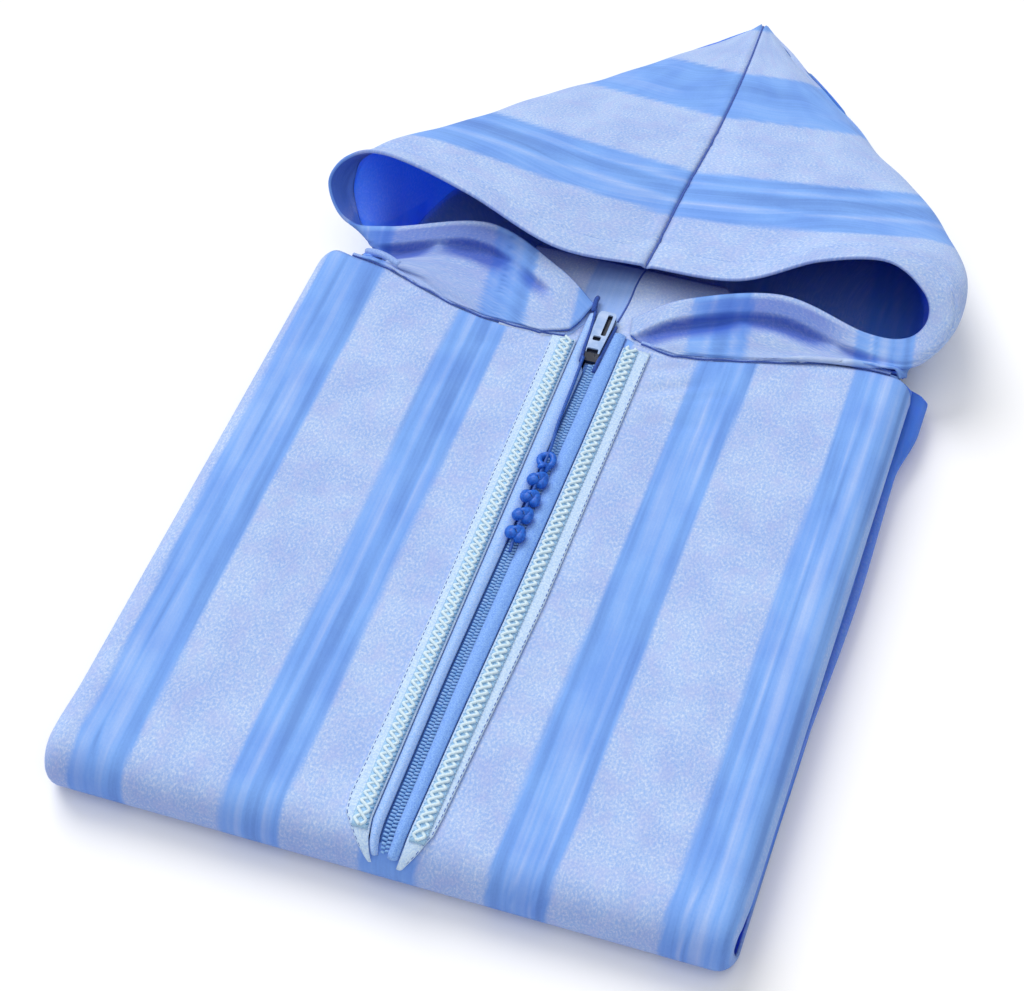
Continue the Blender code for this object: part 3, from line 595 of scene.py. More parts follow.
def cloth(name, places, across, along, stripe, wall, looks, keep=None, flipped=False, tone=0.5,
          fold=0.0, depth=1.0):
    """A sheet of cloth through a grid of points in millimetres, with its wall laid inwards. across
    and along say where each point lies on the flat cloth, fold and depth how deep in a fold its
    outer and inner faces are, which their materials paint as shade, and looks are its outer and
    inner materials."""
    rows, columns = places.shape[:2]
    index = np.arange(rows * columns).reshape(rows, columns)
    faces = np.stack([index[:-1, :-1], index[:-1, 1:], index[1:, 1:], index[1:, :-1]], axis=-1)
    faces = faces.reshape(-1, 4) if keep is None else faces[keep]
    if flipped:
        faces = faces[:, ::-1]
    used, faces = np.unique(faces, return_inverse=True)
    faces = faces.reshape(-1, 4).tolist()
    thing = smooth_mesh(name, places.reshape(-1, 3)[used], faces, looks)
    for kind, values in (
            ("across", across), ("along", along), ("stripe", stripe), ("tone", tone), ("fold", fold),
            ("depth", depth)):
        values = np.broadcast_to(np.asarray(values, float), (rows, columns)).reshape(-1)[used]
        layer = thing.data.attributes.new(kind, "FLOAT", "POINT")
        layer.data.foreach_set("value", values.astype(np.float32))
    thickness = thing.modifiers.new("Cloth", "SOLIDIFY")
    thickness.thickness = wall * MM
    thickness.offset = -1.0
    thickness.material_offset = len(looks) - 1
    thickness.use_even_offset = False
    return thing


def laid(thing, node=None):
    """Puts a cloth piece on the robe, and lets it stand for its CAD node."""
    trimmed(thing, node)


def trimmed(thing, node=None):
    """A trim or hard piece: it rides with the robe, and may stand for its CAD node."""
    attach(thing, "root")
    if node:
        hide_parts(node)


def tube_faces(rings, sides, closed=False):
    """The faces of a tube through rings of points, each joined to the next."""
    faces = []
    for ring in range(rings if closed else rings - 1):
        step = ((ring + 1) % rings - ring) * sides
        for k in range(sides):
            a, b = ring * sides + k, ring * sides + (k + 1) % sides
            faces.append((a, b, b + step, a + step))
    return faces


def capsule():
    """A rounded bar from -1 to 1 along x and 1 in radius: its points and faces."""
    rings = ((-1.0, 0.02), (-0.93, 0.62), (-0.7, 1.0), (0.7, 1.0), (0.93, 0.62), (1.0, 0.02))
    sides = 8
    points = [(x, r * cos(2 * pi * k / sides), r * sin(2 * pi * k / sides))
              for x, r in rings for k in range(sides)]
    return np.array(points), tube_faces(len(rings), sides)


def repeated(name, bars, look):
    """One mesh of many rounded bars. Each is its middle, its direction, its up, and its half
    length, half width and half height in millimetres."""
    shape, faces = capsule()
    points, all_faces = [], []
    for middle, ahead, up, half_length, half_wide, half_high in bars:
        ahead = np.asarray(ahead, float) / np.linalg.norm(ahead)
        across = np.cross(up, ahead)
        across = across / max(np.linalg.norm(across), 1e-9)
        above = np.cross(ahead, across)
        start = len(points) * len(shape)
        points.append(
            np.asarray(middle) + shape[:, :1] * ahead * half_length
            + shape[:, 1:2] * across * half_wide + shape[:, 2:] * above * half_high)
        all_faces += [tuple(start + k for k in face) for face in faces]
    thing = smooth_mesh(name, np.concatenate(points), all_faces, [look])
    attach(thing, "root")
    return thing


def stitches(path, pitch, length, radius, sink):
    """Bars for a run of stitches along a path of points: one each pitch, a little sunk."""
    path, up = np.asarray(path, float), (0, 0, 1)
    runs = np.concatenate([[0], np.cumsum(np.linalg.norm(np.diff(path, axis=0), axis=1))])
    bars = []
    for s in np.arange(pitch / 2, runs[-1] - pitch / 3, pitch):
        here, ahead, behind = (
            np.array([np.interp(at, runs, path[:, k]) for k in range(3)])
            for at in (s, s + length / 2, s - length / 2))
        if np.linalg.norm(ahead - behind) >= 1e-6:
            bars.append((here - np.array(up) * sink, ahead - behind, up, length / 2, radius, radius))
    return bars


def swept(name, path, radii, sides, look, closed=False):
    """A mesh tube along a path in millimetres, with its own radius at each point."""
    path = np.asarray(path, float)
    radii = np.broadcast_to(radii, len(path))
    if closed:
        ahead = np.roll(path, -1, axis=0) - np.roll(path, 1, axis=0)
    else:
        ahead = np.gradient(path, axis=0)
    ahead /= np.linalg.norm(ahead, axis=1)[:, None]
    side = np.cross(ahead[0], (0.3, 0.2, 1.0))
    angles = 2 * pi * np.arange(sides) / sides
    rings = []
    for place, way, radius in zip(path, ahead, radii):
        side = side - way * side.dot(way)
        side /= np.linalg.norm(side)
        other = np.cross(way, side)
        ring = np.cos(angles)[:, None] * side + np.sin(angles)[:, None] * other
        rings.append(place + radius * ring)
    count = len(path)
    faces = tube_faces(count, sides, closed)
    if not closed:
        faces += [tuple(range(sides))[::-1], tuple(range((count - 1) * sides, count * sides))]
    return smooth_mesh(name, np.concatenate(rings), faces, [look])


def joined(name, things):
    """One object of several meshes."""
    with bpy.context.temp_override(active_object=things[0], selected_editable_objects=things):
        bpy.ops.object.join()
    things[0].name = name
    return things[0]


def smooth_curve(points, knots, slopes, at):
    """The smooth curve through rows of points that lie at the given places, read at many."""
    k = np.clip(np.searchsorted(knots, at, side="right") - 1, 0, len(knots) - 2)
    shape = (-1,) + (1,) * (points.ndim - 1)
    width = (knots[k + 1] - knots[k]).reshape(shape)
    t = (at - knots[k]).reshape(shape) / width
    level = (2 * t**3 - 3 * t**2 + 1) * points[k] + (3 * t**2 - 2 * t**3) * points[k + 1]
    return level + width * ((t**3 - 2 * t**2 + t) * slopes[k] + (t**3 - t**2) * slopes[k + 1])


def hood_places(table, side, across, along):
    """A grid of points on a hood half, in rows from the hem to the back seam, each running from
    the neck seam over the side fold to the crown seam."""
    net = np.array(table, float)
    columns = np.arange(net.shape[1], dtype=float)
    rows = np.array(HOOD_ROWS)
    lanes = net.transpose(1, 0, 2)
    curve = smooth_curve(lanes, columns, np.gradient(lanes, columns, axis=0), across * columns[-1])
    curve = curve.transpose(1, 0, 2)
    grid = smooth_curve(curve, rows, np.gradient(curve, rows, axis=0), along)
    edge = smooth_curve(net[:, 0], rows, np.gradient(net[:, 0], rows, axis=0), along)
    a, b = across[None, :], along[:, None]
    on_neck = blend(0, 1, 0, 0.1, b) * blend(1, 0, 0.45, 0.5, b) * (1 - a) ** 4
    on_back = blend(0, 1, 0.5, 0.55, b) * (1 - a) ** 4
    rise = NECK_SEAM_RISE + COLLAR_RISE * blend(1, 0, 0.08, 0.2, b)
    drop = CROWN_DROP * np.minimum(np.abs(edge[:, :1]) / HALF_WIDTH, 1) ** 4
    neck_y = neck_at(edge[:, :1])
    x, y, z = grid[..., 0], grid[..., 1], grid[..., 2]
    y = y + on_neck * (neck_y + NECK_SEAM_EASE - edge[:, 1:2])
    y = y + on_back * (BACK_NECK[0] - edge[:, 1:2])
    z = z + on_neck * (THICKNESS + rise - drop - edge[:, 2:])
    z = z + on_back * (BACK_NECK[1] - edge[:, 2:])
    at_seam = np.maximum(blend(0, 1, 0.93, 1, a), blend(0, 1, 0.93, 1, b))
    at_peak = blend(0, 1, 0.88, 1, b) * blend(0, 1, 0.3, 0.5, a)
    x = x + side * (SEAM_HALF_GAP * at_seam + PEAK_HALF_GAP * at_peak)
    return points_at(x, y, np.maximum(z, HOOD_FLOOR))


def outward(grid, side):
    """The outward direction of the cloth at each point of a hood half's grid."""
    across, along = np.gradient(grid, axis=1), np.gradient(grid, axis=0)
    out = np.cross(across, along) * -side
    return out / np.maximum(np.linalg.norm(out, axis=2, keepdims=True), 1e-9)


def run_lengths(grid, axis):
    """How far each point of a grid lies along its row (axis 1) or its column (axis 0)."""
    steps = np.linalg.norm(np.diff(grid, axis=axis), axis=2)
    start = np.zeros((1, grid.shape[1]) if axis == 0 else (grid.shape[0], 1))
    return np.concatenate([start, np.cumsum(steps, axis=axis)], axis=axis)


def hood_stripes(grid, a, b):
    """How much of the stripe's yarn shows on the hood, and its tone: it crosses the crown in
    bands, and the cheeks and the back of the neck in patches that run up from the seam."""
    x = grid[..., 0] - BAND_DRIFT[0] * (grid[..., 2] - THICKNESS)
    y = grid[..., 1] + BAND_DRIFT[1] * (grid[..., 2] - THICKNESS)
    t = y - np.interp(x, *BAND_SAG)
    found, tone = np.zeros(x.shape), np.full(x.shape, 0.5)
    for number, (low, high) in enumerate(HOOD_BANDS):
        inside = in_band(t, low, high, 1.0)
        tone = np.where(inside > 0, yarn_tone((t - low) / (high - low), x, number + 1), tone)
        found = np.maximum(found, inside)
    patches, patch_tone = np.zeros(x.shape), np.full(x.shape, 0.5)
    for number, (low, high) in enumerate(CHEEK_STRIPES):
        across = grid[..., 0] + (y - 340) * 0.1
        inside = in_band(across, low, high, 1.0)
        new_tone = yarn_tone((across - low) / (high - low), y, number)
        patch_tone = np.where(inside > 0, new_tone, patch_tone)
        patches = np.maximum(patches, inside)
    lower = (a < 0.45) & (b < 0.52)
    inner = (a < 0.6) & (b >= 0.52) & (grid[..., 1] < 460)
    use = lower | inner
    rim = blend(1, 0, -160, -153, grid[..., 0]) * (b < 0.3)
    return np.maximum(np.where(use, patches, found), rim), np.where(use, patch_tone, tone)


def pleats(x, from_hem):
    """How far the cheek drops away under its hem, in the pleats that the neck seam gathers."""
    depth = np.zeros(np.broadcast(x, from_hem).shape)
    for middle, half, fall, run in CHEEK_PLEATS:
        window = np.exp(-np.abs((x - middle) / half) ** 3)
        start = blend(0, 1, HEM_BAND - 2.5, HEM_BAND + 0.5, from_hem)
        end = blend(1, 0, HEM_BAND, HEM_BAND + run, from_hem)
        depth = np.maximum(depth, fall * window * start * end)
    return depth


def hood_lift(from_hem, from_neck, side):
    """How far the hood's cloth stands off its grid: a step and a groove at the hem's stitches,
    slow waves, puckers along the crown seam and small gathers at the neck."""
    to_seam = from_neck[:, -1:] - from_neck
    free = blend(0, 1, 0, 14, from_neck) * blend(0, 1, 0, 12, to_seam)
    lift = 0.3 * blend(1, 0, HEM_BAND - 0.8, HEM_BAND + 0.8, from_hem) * free
    lift = lift - 0.4 * free * np.exp(-((from_hem - HEM_BAND) / 1.1) ** 2)
    lift += 0.2 * np.sin(from_neck / 2.6) * np.exp(-((from_hem - HEM_BAND) / 5) ** 2)
    lift += (0.9 * free * np.sin(from_neck / 29 + from_hem / 47 + side)
             * np.sin(from_hem / 31 - from_neck / 61))
    lift += 0.22 * free * np.sin(from_hem / 7.7 + from_neck / 23 + 2 * side)
    for place, half, rise in SEAM_PUCKERS:
        near = np.exp(-((from_hem - place) / half) ** 2)
        lift += rise * near * np.exp(-((to_seam - 2) / 11) ** 2)
    lift += 0.12 * np.sin(from_hem / 1.3) * np.exp(-(to_seam / 3) ** 2)
    # The seam's layers are pressed to the left, where they make a low ridge
    lift += 0.5 * np.exp(-((to_seam - 3.2) / 2.0) ** 2) * (side < 0)
    lift -= 0.8 * np.exp(-(to_seam / 1.1) ** 2)
    lift += 0.3 * np.sin(from_hem / 2.1 + side) * np.exp(-(from_neck / 9) ** 2)
    return lift


def hood_depths(grid, a, b, from_hem, fall, cheek):
    """How deep in a fold the outer and inner faces of the hood's cloth lie, 0 open to 1 deep: the masks of
    their painted shade.
    """
    x, y, z = grid[..., 0], grid[..., 1], grid[..., 2]
    # The cloth behind the neck lies open to the light; the rest of the inside does not
    in_light = np.exp(-(x / 52) ** 4) * (y < 440) * (a < 0.5)
    depth = np.where(b > 0.4, 1 - in_light, 1.0)
    # The strip that turns up beside the neck seam lies open too
    depth = np.where((y < neck_at(x) + 12) & (z > 28), 0.0, depth)
    # Painted shade over the left cheek, past its hem band
    left_cheek_shade = blend(1, 0, -90, -20, x) * blend(0, 1, HEM_BAND - 1, HEM_BAND + 3, from_hem)
    # The hem band rolls forward on the cheeks, so its face is in shade, painted here on a band that faces
    # up
    rolled = blend(0, 1, 0.6, 3.5, from_hem) * blend(1, 0, HEM_BAND - 3, HEM_BAND + 2, from_hem)
    rolled = rolled * np.maximum(blend(1, 0, -78, -42, x), in_band(x, 44, 118, 14))
    # Painted shade in the pleats' valleys, over the left cheek and on the rolled hem band
    return np.clip(fall / 3.4 + (0.2 * left_cheek_shade + 0.75 * rolled) * cheek, 0, 1), depth


def turned_hem(grid, out, from_hem, from_neck, fall, wall):
    """Rows of points of the cloth that turns under at the hem: the hidden layer, from its own edge
    forward, and the curl round the hem."""
    count = int(np.searchsorted(from_hem[:, HOOD_COLUMNS // 2], HEM_BAND)) + 1
    ahead = grid[0] - grid[1]
    ahead = ahead / np.maximum(np.linalg.norm(ahead, axis=1, keepdims=True), 1e-9)
    curl = [grid[0] + ahead * wall * sin(turn) - out[0] * wall * (1 - cos(turn)) for turn in HEM_CURL]
    # The hidden layer stays under the deepest part of a pleat near it
    fall = fall * blend(0, 1, 3, 16, from_neck)
    hidden = []
    for k in range(count, 0, -1):
        near = fall[max(k - HEM_REACH, 0):k + HEM_REACH + 1]
        hidden.append(grid[k] - out[k] * (2 * wall + near.max(axis=0)[:, None]))
    return hidden, curl


def make_hood_half(name, table, side, looks, wall):
    """One half of the hood with its turned hem: the cloth, its grid and what lies along it."""
    across = np.linspace(0, 1, HOOD_COLUMNS)
    a, b = across[None, :], np.concatenate([
        np.linspace(0, NEAR_HEM, NEAR_HEM_ROWS)[:-1], np.linspace(NEAR_HEM, 1, PAST_HEM_ROWS)])[:, None]
    grid = hood_places(table, side, across, b[:, 0])
    out = outward(grid, side)
    from_hem, from_neck = run_lengths(grid, 0), run_lengths(grid, 1)
    cheek = blend(1, 0, 0.3, 0.42, a) * blend(1, 0, 0.3, 0.5, b)
    fall = pleats(grid[..., 0], from_hem) * cheek
    grid = grid + out * (hood_lift(from_hem, from_neck, side) - fall)[..., None]
    grid[..., 2] = np.maximum(grid[..., 2], HOOD_FLOOR)
    # Over the packet the cheeks stay above the front's cloth, which falls away past its rear bend
    on_front = (grid[..., 1] < neck_at(grid[..., 0]) + 40) & (a < 0.4) & (b < 0.5)
    least = THICKNESS - CROWN_DROP + 1.2 - 0.9 * np.maximum(grid[..., 1] - REAR_BEND - 5, 0)
    grid[..., 2] = np.where(on_front, np.maximum(grid[..., 2], least), grid[..., 2])
    stripe, tone = hood_stripes(grid, a, b)
    fold, depth = hood_depths(grid, a, b, from_hem, fall, cheek)
    hidden, curl = turned_hem(grid, out, from_hem, from_neck, fall, wall)
    places = np.concatenate([np.array(hidden + curl), grid])
    # Each row that turns under takes its stripes from the row that it lies below
    count = len(hidden)
    above = [*range(count, 0, -1), *[0] * len(curl)]
    full = (len(above), HOOD_COLUMNS)
    # Painted shade on the turned hem: full on its hidden layer and part of it on the curl, and the inner
    # faces of these rows are fully shaded
    hem_shade = np.repeat([[1.0], [0.45]], (count, len(curl)), axis=0)
    near = blend(1, 0, 0.28, 0.42, across)
    width = from_neck * near + from_neck[YARN_ROW] * (1 - near)
    from_edge = np.concatenate([-from_hem[count:0:-1], np.zeros((len(curl), HOOD_COLUMNS)), from_hem])
    thing = cloth(
        name, places, from_edge, np.concatenate([width[above], width]),
        np.concatenate([stripe[above], stripe]), wall, looks, flipped=side > 0,
        tone=np.concatenate([tone[above], tone]),
        fold=np.concatenate([np.broadcast_to(hem_shade, full), fold]),
        depth=np.concatenate([np.ones(full), depth]))
    return thing, grid, places, out, from_hem


def side_layers(side, step):
    """The folded layers along one side of the packet: double folds of cloth between its underside
    and the rolled edge. On the right the middle one stands out by step, and further at the rear
    corner."""
    rear, front_step, rear_run = LAYER_ENDS[side]
    sections = []
    for y in np.linspace(FOLD + 3, rear, 140):
        low, high = SIDE_ROLL_UNDER - 1.0, THICKNESS - CROWN_DROP - side_roll(y) + 0.6
        height = (high - low) / LAYER_COUNT
        reach = half_width(y, side) - 0.8
        stepped_in = max(front_step * blend(1, 0, FOLD + 3, 2.4 * FOLD, y),
                         LAYER_REAR_STEP * blend(0, 1, rear - rear_run, rear, y))
        section = []
        for number in range(LAYER_COUNT):
            top = high - number * height
            radius = height / 2 - 0.25
            edge = reach - LAYER_INSETS[number]
            edge = edge + 0.7 * np.sin(y / (31 + 9 * number) + number * 2 + side) - stepped_in
            if number == 1 and side > 0:
                edge = edge + step * blend(0, 1, 100, 240, y) + 5.0 * blend(0, 1, 295, 330, y)
            middle = top - height / 2 + 0.25 * np.sin(y / 23 + number)
            section.append((edge - LAYER_DEPTH, middle + radius))
            section += [(edge - radius + radius * sin(turn), middle + radius * cos(turn))
                        for turn in np.linspace(0, pi, 9)]
            section.append((edge - LAYER_DEPTH, middle - radius))
            if number < LAYER_COUNT - 1:
                section.append((edge - LAYER_DEPTH - height * 0.3, middle - height / 2))
        sections.append([(side * x, y, z) for x, z in section])
    return np.array(sections)


def strip(name, left, right, rows, columns, lift, rise, wall, look):
    """A strip laid on the front between two edges, made from the front's points and moved out, and
    its grid of points."""
    rows = np.asarray(rows, float)[:, None]
    share = np.linspace(0, 1, columns)[None, :]
    s = left(rows) + (right(rows) - left(rows)) * share
    rows = np.broadcast_to(rows, s.shape)
    places = on_packet(s, rows, lift + rise * np.sin(pi * share))
    return cloth(name, places, s, rows, 0.0, wall, [look]), places


def chain_edge(v, side):
    """The zip chain's edge: it drifts from left at the foot to right at the neck."""
    return np.interp(v, (0, 100, 300), (-0.8, -0.6, 2.6)) + side * np.interp(v, (-4, 8), (1.6, 3.0))


def tape_edge(v, side):
    """The tape's edge beside the chain. It steps back on each side of the slider."""
    beside = SLIDER_MIDDLE + side * (SLIDER_HALF_WIDTH + 0.3)
    share = blend(0, 1, SLIDER_FOOT - 9, SLIDER_FOOT, v)
    return chain_edge(v, side) * (1 - share) + beside * share


def smooth_route(points, spacing):
    """Points about this far apart on a smooth curve through the route's own points."""
    points = np.array(points, float)
    lengths = np.concatenate([[0], np.cumsum(np.linalg.norm(np.diff(points, axis=0), axis=1))])
    at = np.linspace(0, lengths[-1], round(lengths[-1] / spacing) + 1)
    return smooth_curve(points, lengths, np.gradient(points, lengths, axis=0), at)


def make_slider(look):
    """The slider: a body that widens towards the neck, with the slots in its crown."""
    outline = [(share * SLIDER_HALF_WIDTH, y) for share, y in SLIDER_OUTLINE]
    outline += [(-x, y) for x, y in reversed(outline)]
    mesh = bpy.data.meshes.new("slider_body")
    bm = bmesh.new()
    base = bm.faces.new(
        [bm.verts.new(placed((SLIDER_MIDDLE + x, y, SLIDER_BASE))) for x, y in outline])
    raised = bmesh.ops.extrude_face_region(bm, geom=[base])
    top = [item for item in raised["geom"] if isinstance(item, bmesh.types.BMVert)]
    bmesh.ops.translate(bm, verts=top, vec=(0, 0, (SLIDER_TOP - SLIDER_BASE) * MM))
    foot = [vertex for vertex in top if vertex.co.y < placed((0, SLIDER_FOOT + 1, 0))[1]]
    bmesh.ops.translate(bm, verts=foot, vec=(0, 0, -SLIDER_FOOT_DROP * MM))
    bmesh.ops.recalc_face_normals(bm, faces=bm.faces)
    bm.to_mesh(mesh)
    bm.free()
    slider = in_scene("slider_body", mesh)
    cutters = []
    for low_x, high_x, low_y, high_y in SLIDER_SLOTS:
        size = ((high_x - low_x) * MM, (high_y - low_y) * MM, 4 * MM)
        middle = placed((SLIDER_MIDDLE + (low_x + high_x) / 2, (low_y + high_y) / 2, SLIDER_TOP))
        cut = bpy.data.meshes.new("slot")
        bm = bmesh.new()
        place = Matrix.LocRotScale(Vector(middle), None, Vector(size))
        bmesh.ops.create_cube(bm, size=1.0, matrix=place)
        bmesh.ops.bevel(bm, geom=bm.edges, offset=0.35 * MM, segments=2, affect="EDGES")
        bm.to_mesh(cut)
        bm.free()
        cutters.append(in_scene("slot", cut))
        slot = slider.modifiers.new("Slot", "BOOLEAN")
        slot.operation, slot.object = "DIFFERENCE", cutters[-1]
    rounding = slider.modifiers.new("Rounded edges", "BEVEL")
    rounding.width, rounding.segments, rounding.limit_method = 0.45 * MM, 3, "ANGLE"
    graph = bpy.context.evaluated_depsgraph_get()
    cast = bpy.data.meshes.new_from_object(slider.evaluated_get(graph))
    for cutter in cutters:
        bpy.data.objects.remove(cutter)
    slider.modifiers.clear()
    slider.data = cast
    cast.materials.clear()
    cast.materials.append(look)
    cast.shade_smooth()
    cast.set_sharp_from_angle(angle=radians(40))
    trimmed(slider, "zip_slider")


class RobeCloth(bpy.types.PropertyGroup):
    """Sizes and colours of the cloth."""

    wall: FloatProperty(
        name="Cloth wall", description="Thickness of the robe's cloth", default=1.4 * MM,
        min=0.5 * MM, max=2 * MM, unit="LENGTH", subtype="DISTANCE")
    hood_wall: FloatProperty(
        name="Hood wall", description="Thickness of one layer at the hood's turned hem",
        default=1.0 * MM, min=0.5 * MM, max=1.2 * MM, unit="LENGTH", subtype="DISTANCE")
    layer_wall: FloatProperty(
        name="Layer wall", description="Thickness of the cloth in the folded side edges",
        default=1.2 * MM, min=0.5 * MM, max=2 * MM, unit="LENGTH", subtype="DISTANCE")
    layer_step: FloatProperty(
        name="Layer step", description="How far the middle layer stands out on the right",
        default=3.4 * MM, min=0.0, max=5 * MM, unit="LENGTH", subtype="DISTANCE")
    heather: FloatVectorProperty(
        name="Heather", description="The ground between the stripes", subtype="COLOR", size=4,
        min=0, max=1, default=linear("#A8C2EE"))
    fleck: FloatVectorProperty(
        name="Fleck", description="The pale slubs in the heather yarn", subtype="COLOR", size=4,
        min=0, max=1, default=linear("#D2DFF7"))
    lilac: FloatVectorProperty(
        name="Lilac", description="The violet cast of the heather yarn", subtype="COLOR", size=4,
        min=0, max=1, default=linear("#B4BEEC"))
    stripe: FloatVectorProperty(
        name="Stripe", description="The stripes' plain blue yarn", subtype="COLOR", size=4,
        min=0, max=1, default=linear("#7FADF3"))
    # Painted shade: the blue that the cloth's colours are taken towards in its folds
    deep: FloatVectorProperty(
        name="Deep fold", description="The cloth where it only sees other cloth", subtype="COLOR",
        size=4, min=0, max=1, default=linear("#2F63EC"))


class RobeTrim(bpy.types.PropertyGroup):
    """Sizes and colours of the zip, the braid, the stitches and the pull."""

    tooth_pitch: FloatProperty(
        name="Tooth pitch", description="Distance from one turn of the zip's coil to the next",
        default=1.9 * MM, min=1 * MM, max=3 * MM, unit="LENGTH", subtype="DISTANCE")
    loop_pitch: FloatProperty(
        name="Loop pitch", description="Length of one loop of the braid", default=8.4 * MM,
        min=2 * MM, max=12 * MM, unit="LENGTH", subtype="DISTANCE")
    stitch_pitch: FloatProperty(
        name="Stitch pitch", description="Distance from one stitch to the next", default=3.2 * MM,
        min=1.5 * MM, max=6 * MM, unit="LENGTH", subtype="DISTANCE")
    braid: FloatVectorProperty(
        name="Braid", description="The braid's pale green-blue cotton", subtype="COLOR", size=4,
        min=0, max=1, default=linear("#C4E2F2"))
    lip: FloatVectorProperty(
        name="Zip tape", description="The zip's woven tapes", subtype="COLOR", size=4, min=0,
        max=1, default=linear("#8FBCF8"))
    teeth: FloatVectorProperty(
        name="Teeth", description="The zip's nylon coil", subtype="COLOR", size=4, min=0, max=1,
        default=linear("#6AA6E8"))
    slider: FloatVectorProperty(
        name="Slider", description="The slider's enamel", subtype="COLOR", size=4, min=0, max=1,
        default=linear("#94B6EA"))
    cord: FloatVectorProperty(
        name="Cord", description="The pull's satin cord", subtype="COLOR", size=4, min=0, max=1,
        default=linear("#2373E4"))
    thread: FloatVectorProperty(
        name="Thread", description="The sewing thread", subtype="COLOR", size=4, min=0, max=1,
        default=linear("#2C57B8"))


class RobeStage(bpy.types.PropertyGroup):
    """The camera and the light."""

    distance: FloatProperty(
        name="Camera distance", description="From the camera to its target", default=1.2796,
        min=0.5, max=5, unit="LENGTH", subtype="DISTANCE")
    elevation: FloatProperty(
        name="Camera height", description="The camera's angle above the table",
        default=radians(49.56), min=0, max=radians(89), unit="ROTATION", subtype="ANGLE")
    azimuth: FloatProperty(
        name="Camera turn", description="The camera's angle to the right of the zip",
        default=radians(18.05), min=-pi, max=pi, unit="ROTATION", subtype="ANGLE")
    key: FloatProperty(
        name="Key light", description="Strength of the large soft light", default=1.75, min=0,
        max=20, subtype="FACTOR")
    sky: FloatProperty(
        name="Surrounding light", description="Strength of the even light", default=0.38, min=0,
        max=3, subtype="FACTOR")
    fill: FloatProperty(
        name="Overhead light", description="Strength of the soft light from above the front fold",
        default=0.95, min=0, max=20, subtype="FACTOR")


def mixed(one, other, share):
    """A colour part of the way from one to another."""
    return tuple(a + (b - a) * share for a, b in zip(one, other))


def cloth_looks():
    """The cloth's finish on its outer face and on the face that only sees other cloth, each with painted
    shade in its folds.
    """
    names = "Brushed cotton", "Brushed cotton, inner face, painted shade"
    found = [bpy.data.materials.get(name) for name in names]
    if all(found):
        return found
    robe = bpy.context.scene.robe_cloth
    white, night = (1, 1, 1, 1), linear("#20378C")
    colours = {
        "heather": tuple(robe.heather), "fleck": tuple(robe.fleck), "lilac": tuple(robe.lilac),
        "heather_light": mixed(robe.heather, robe.fleck, 0.4),
        "heather_dark": mixed(robe.heather, robe.stripe, 0.42),
        "stripe": tuple(robe.stripe), "stripe_dark": mixed(robe.stripe, night, 0.3),
        "stripe_light": mixed(robe.stripe, white, 0.1),
        "stripe_pale": mixed(robe.stripe, white, 0.26), "deep": mixed(robe.deep, night, 0.55)}
    # The inner face's painted shade goes to the brighter deep blue, the outer face's to a darker one
    inner = {**colours, "deep": tuple(robe.deep)}
    return [striped_cotton(names[0], colours, "fold", shade=0.78),
            striped_cotton(names[1], inner, "depth", shade=0.8, glow=0.8)]


def thread_look():
    """Spun polyester sewing thread, two dark blues, with a faint gloss from its smooth filaments."""
    name, thread = "Spun polyester thread", bpy.context.scene.robe_trim.thread
    return bpy.data.materials.get(name) or plain_textile(
        name, mixed(thread, (0, 0, 0, 1), 0.2), mixed(thread, (1, 1, 1, 1), 0.06),
        thread_mm=0.5, roughness=0.6, sheen=0.05)


def pale_thread_look():
    """Cotton thread dyed to match the cloth's ground, so the hem's stitches read as faint dents."""
    name, heather = "Matched cotton thread", bpy.context.scene.robe_cloth.heather
    return bpy.data.materials.get(name) or plain_textile(
        name, mixed(heather, linear("#5F8CE8"), 0.5), tuple(heather),
        thread_mm=0.5, roughness=0.7, sheen=0.05)


def sewn(name, paths, sink=0.05, radius=0.28, length=2.3, look=None):
    """One piece of thread: a run of stitches along each path."""
    pitch = bpy.context.scene.robe_trim.stitch_pitch / MM
    bars = []
    for path in paths:
        bars += stitches(path, pitch, length, radius, sink)
    return repeated(name, bars, look or thread_look())


class OBJECT_OT_robe_front(bpy.types.Operator):
    """The front panel, over the top of the packet, round its front fold and underneath"""

    bl_idname = "object.robe_front"
    bl_label = "Front panel"

    def execute(self, context):
        wall = context.scene.robe_cloth.wall / MM
        under = FOLD - FOLD * pi - np.array([UNDERSIDE_END - FOLD, *UNDERSIDE_ROWS])
        nose = FOLD - FOLD * pi * np.linspace(1, 0, 25)
        rows = np.concatenate([under, nose, np.arange(19, FRONT_ROWS_END, 2.0)])
        rows[np.abs(rows - SLIT_FOOT).argmin()] = SLIT_FOOT
        shares = np.linspace(0, 1, 22)[1:]
        v = np.concatenate([rows, np.full(len(shares), FRONT_ROWS_END)])[:, None]
        to_neck = np.concatenate([np.zeros(len(rows)), shares])[:, None]
        left = -(half_width(v, -1) + 0.75 * side_roll(v))
        right = half_width(v, 1) + 0.75 * side_roll(v)
        slit = placket_at(v, 3) - 0.8
        share = np.linspace(0, 1, FRONT_HALF_COLUMNS)[None, :]
        s = np.concatenate([left + (SLIT_LEFT - left) * share, slit + (right - slit) * share], axis=1)
        v = v + to_neck * (neck_at(np.clip(s, -HALF_WIDTH, HALF_WIDTH)) - FRONT_ROWS_END)
        places = on_packet(s, v)
        # The column between the two halves has cloth only in front of the slit's foot
        between = FRONT_HALF_COLUMNS - 1
        keep = np.ones((v.shape[0] - 1, s.shape[1] - 1), bool)
        keep[v[:-1, between] >= SLIT_FOOT - 0.01, between] = False
        stripe, tone = front_stripes(s, v)
        # Painted shade where the cloth turns down over the front fold
        nose_shade = 0.3 * blend(0, 1, 14, -6, v)
        thing = cloth("front_cloth", places, s, v, stripe, wall, cloth_looks(), keep, tone=tone,
                      fold=nose_shade)
        laid(thing, "front")
        return {"FINISHED"}


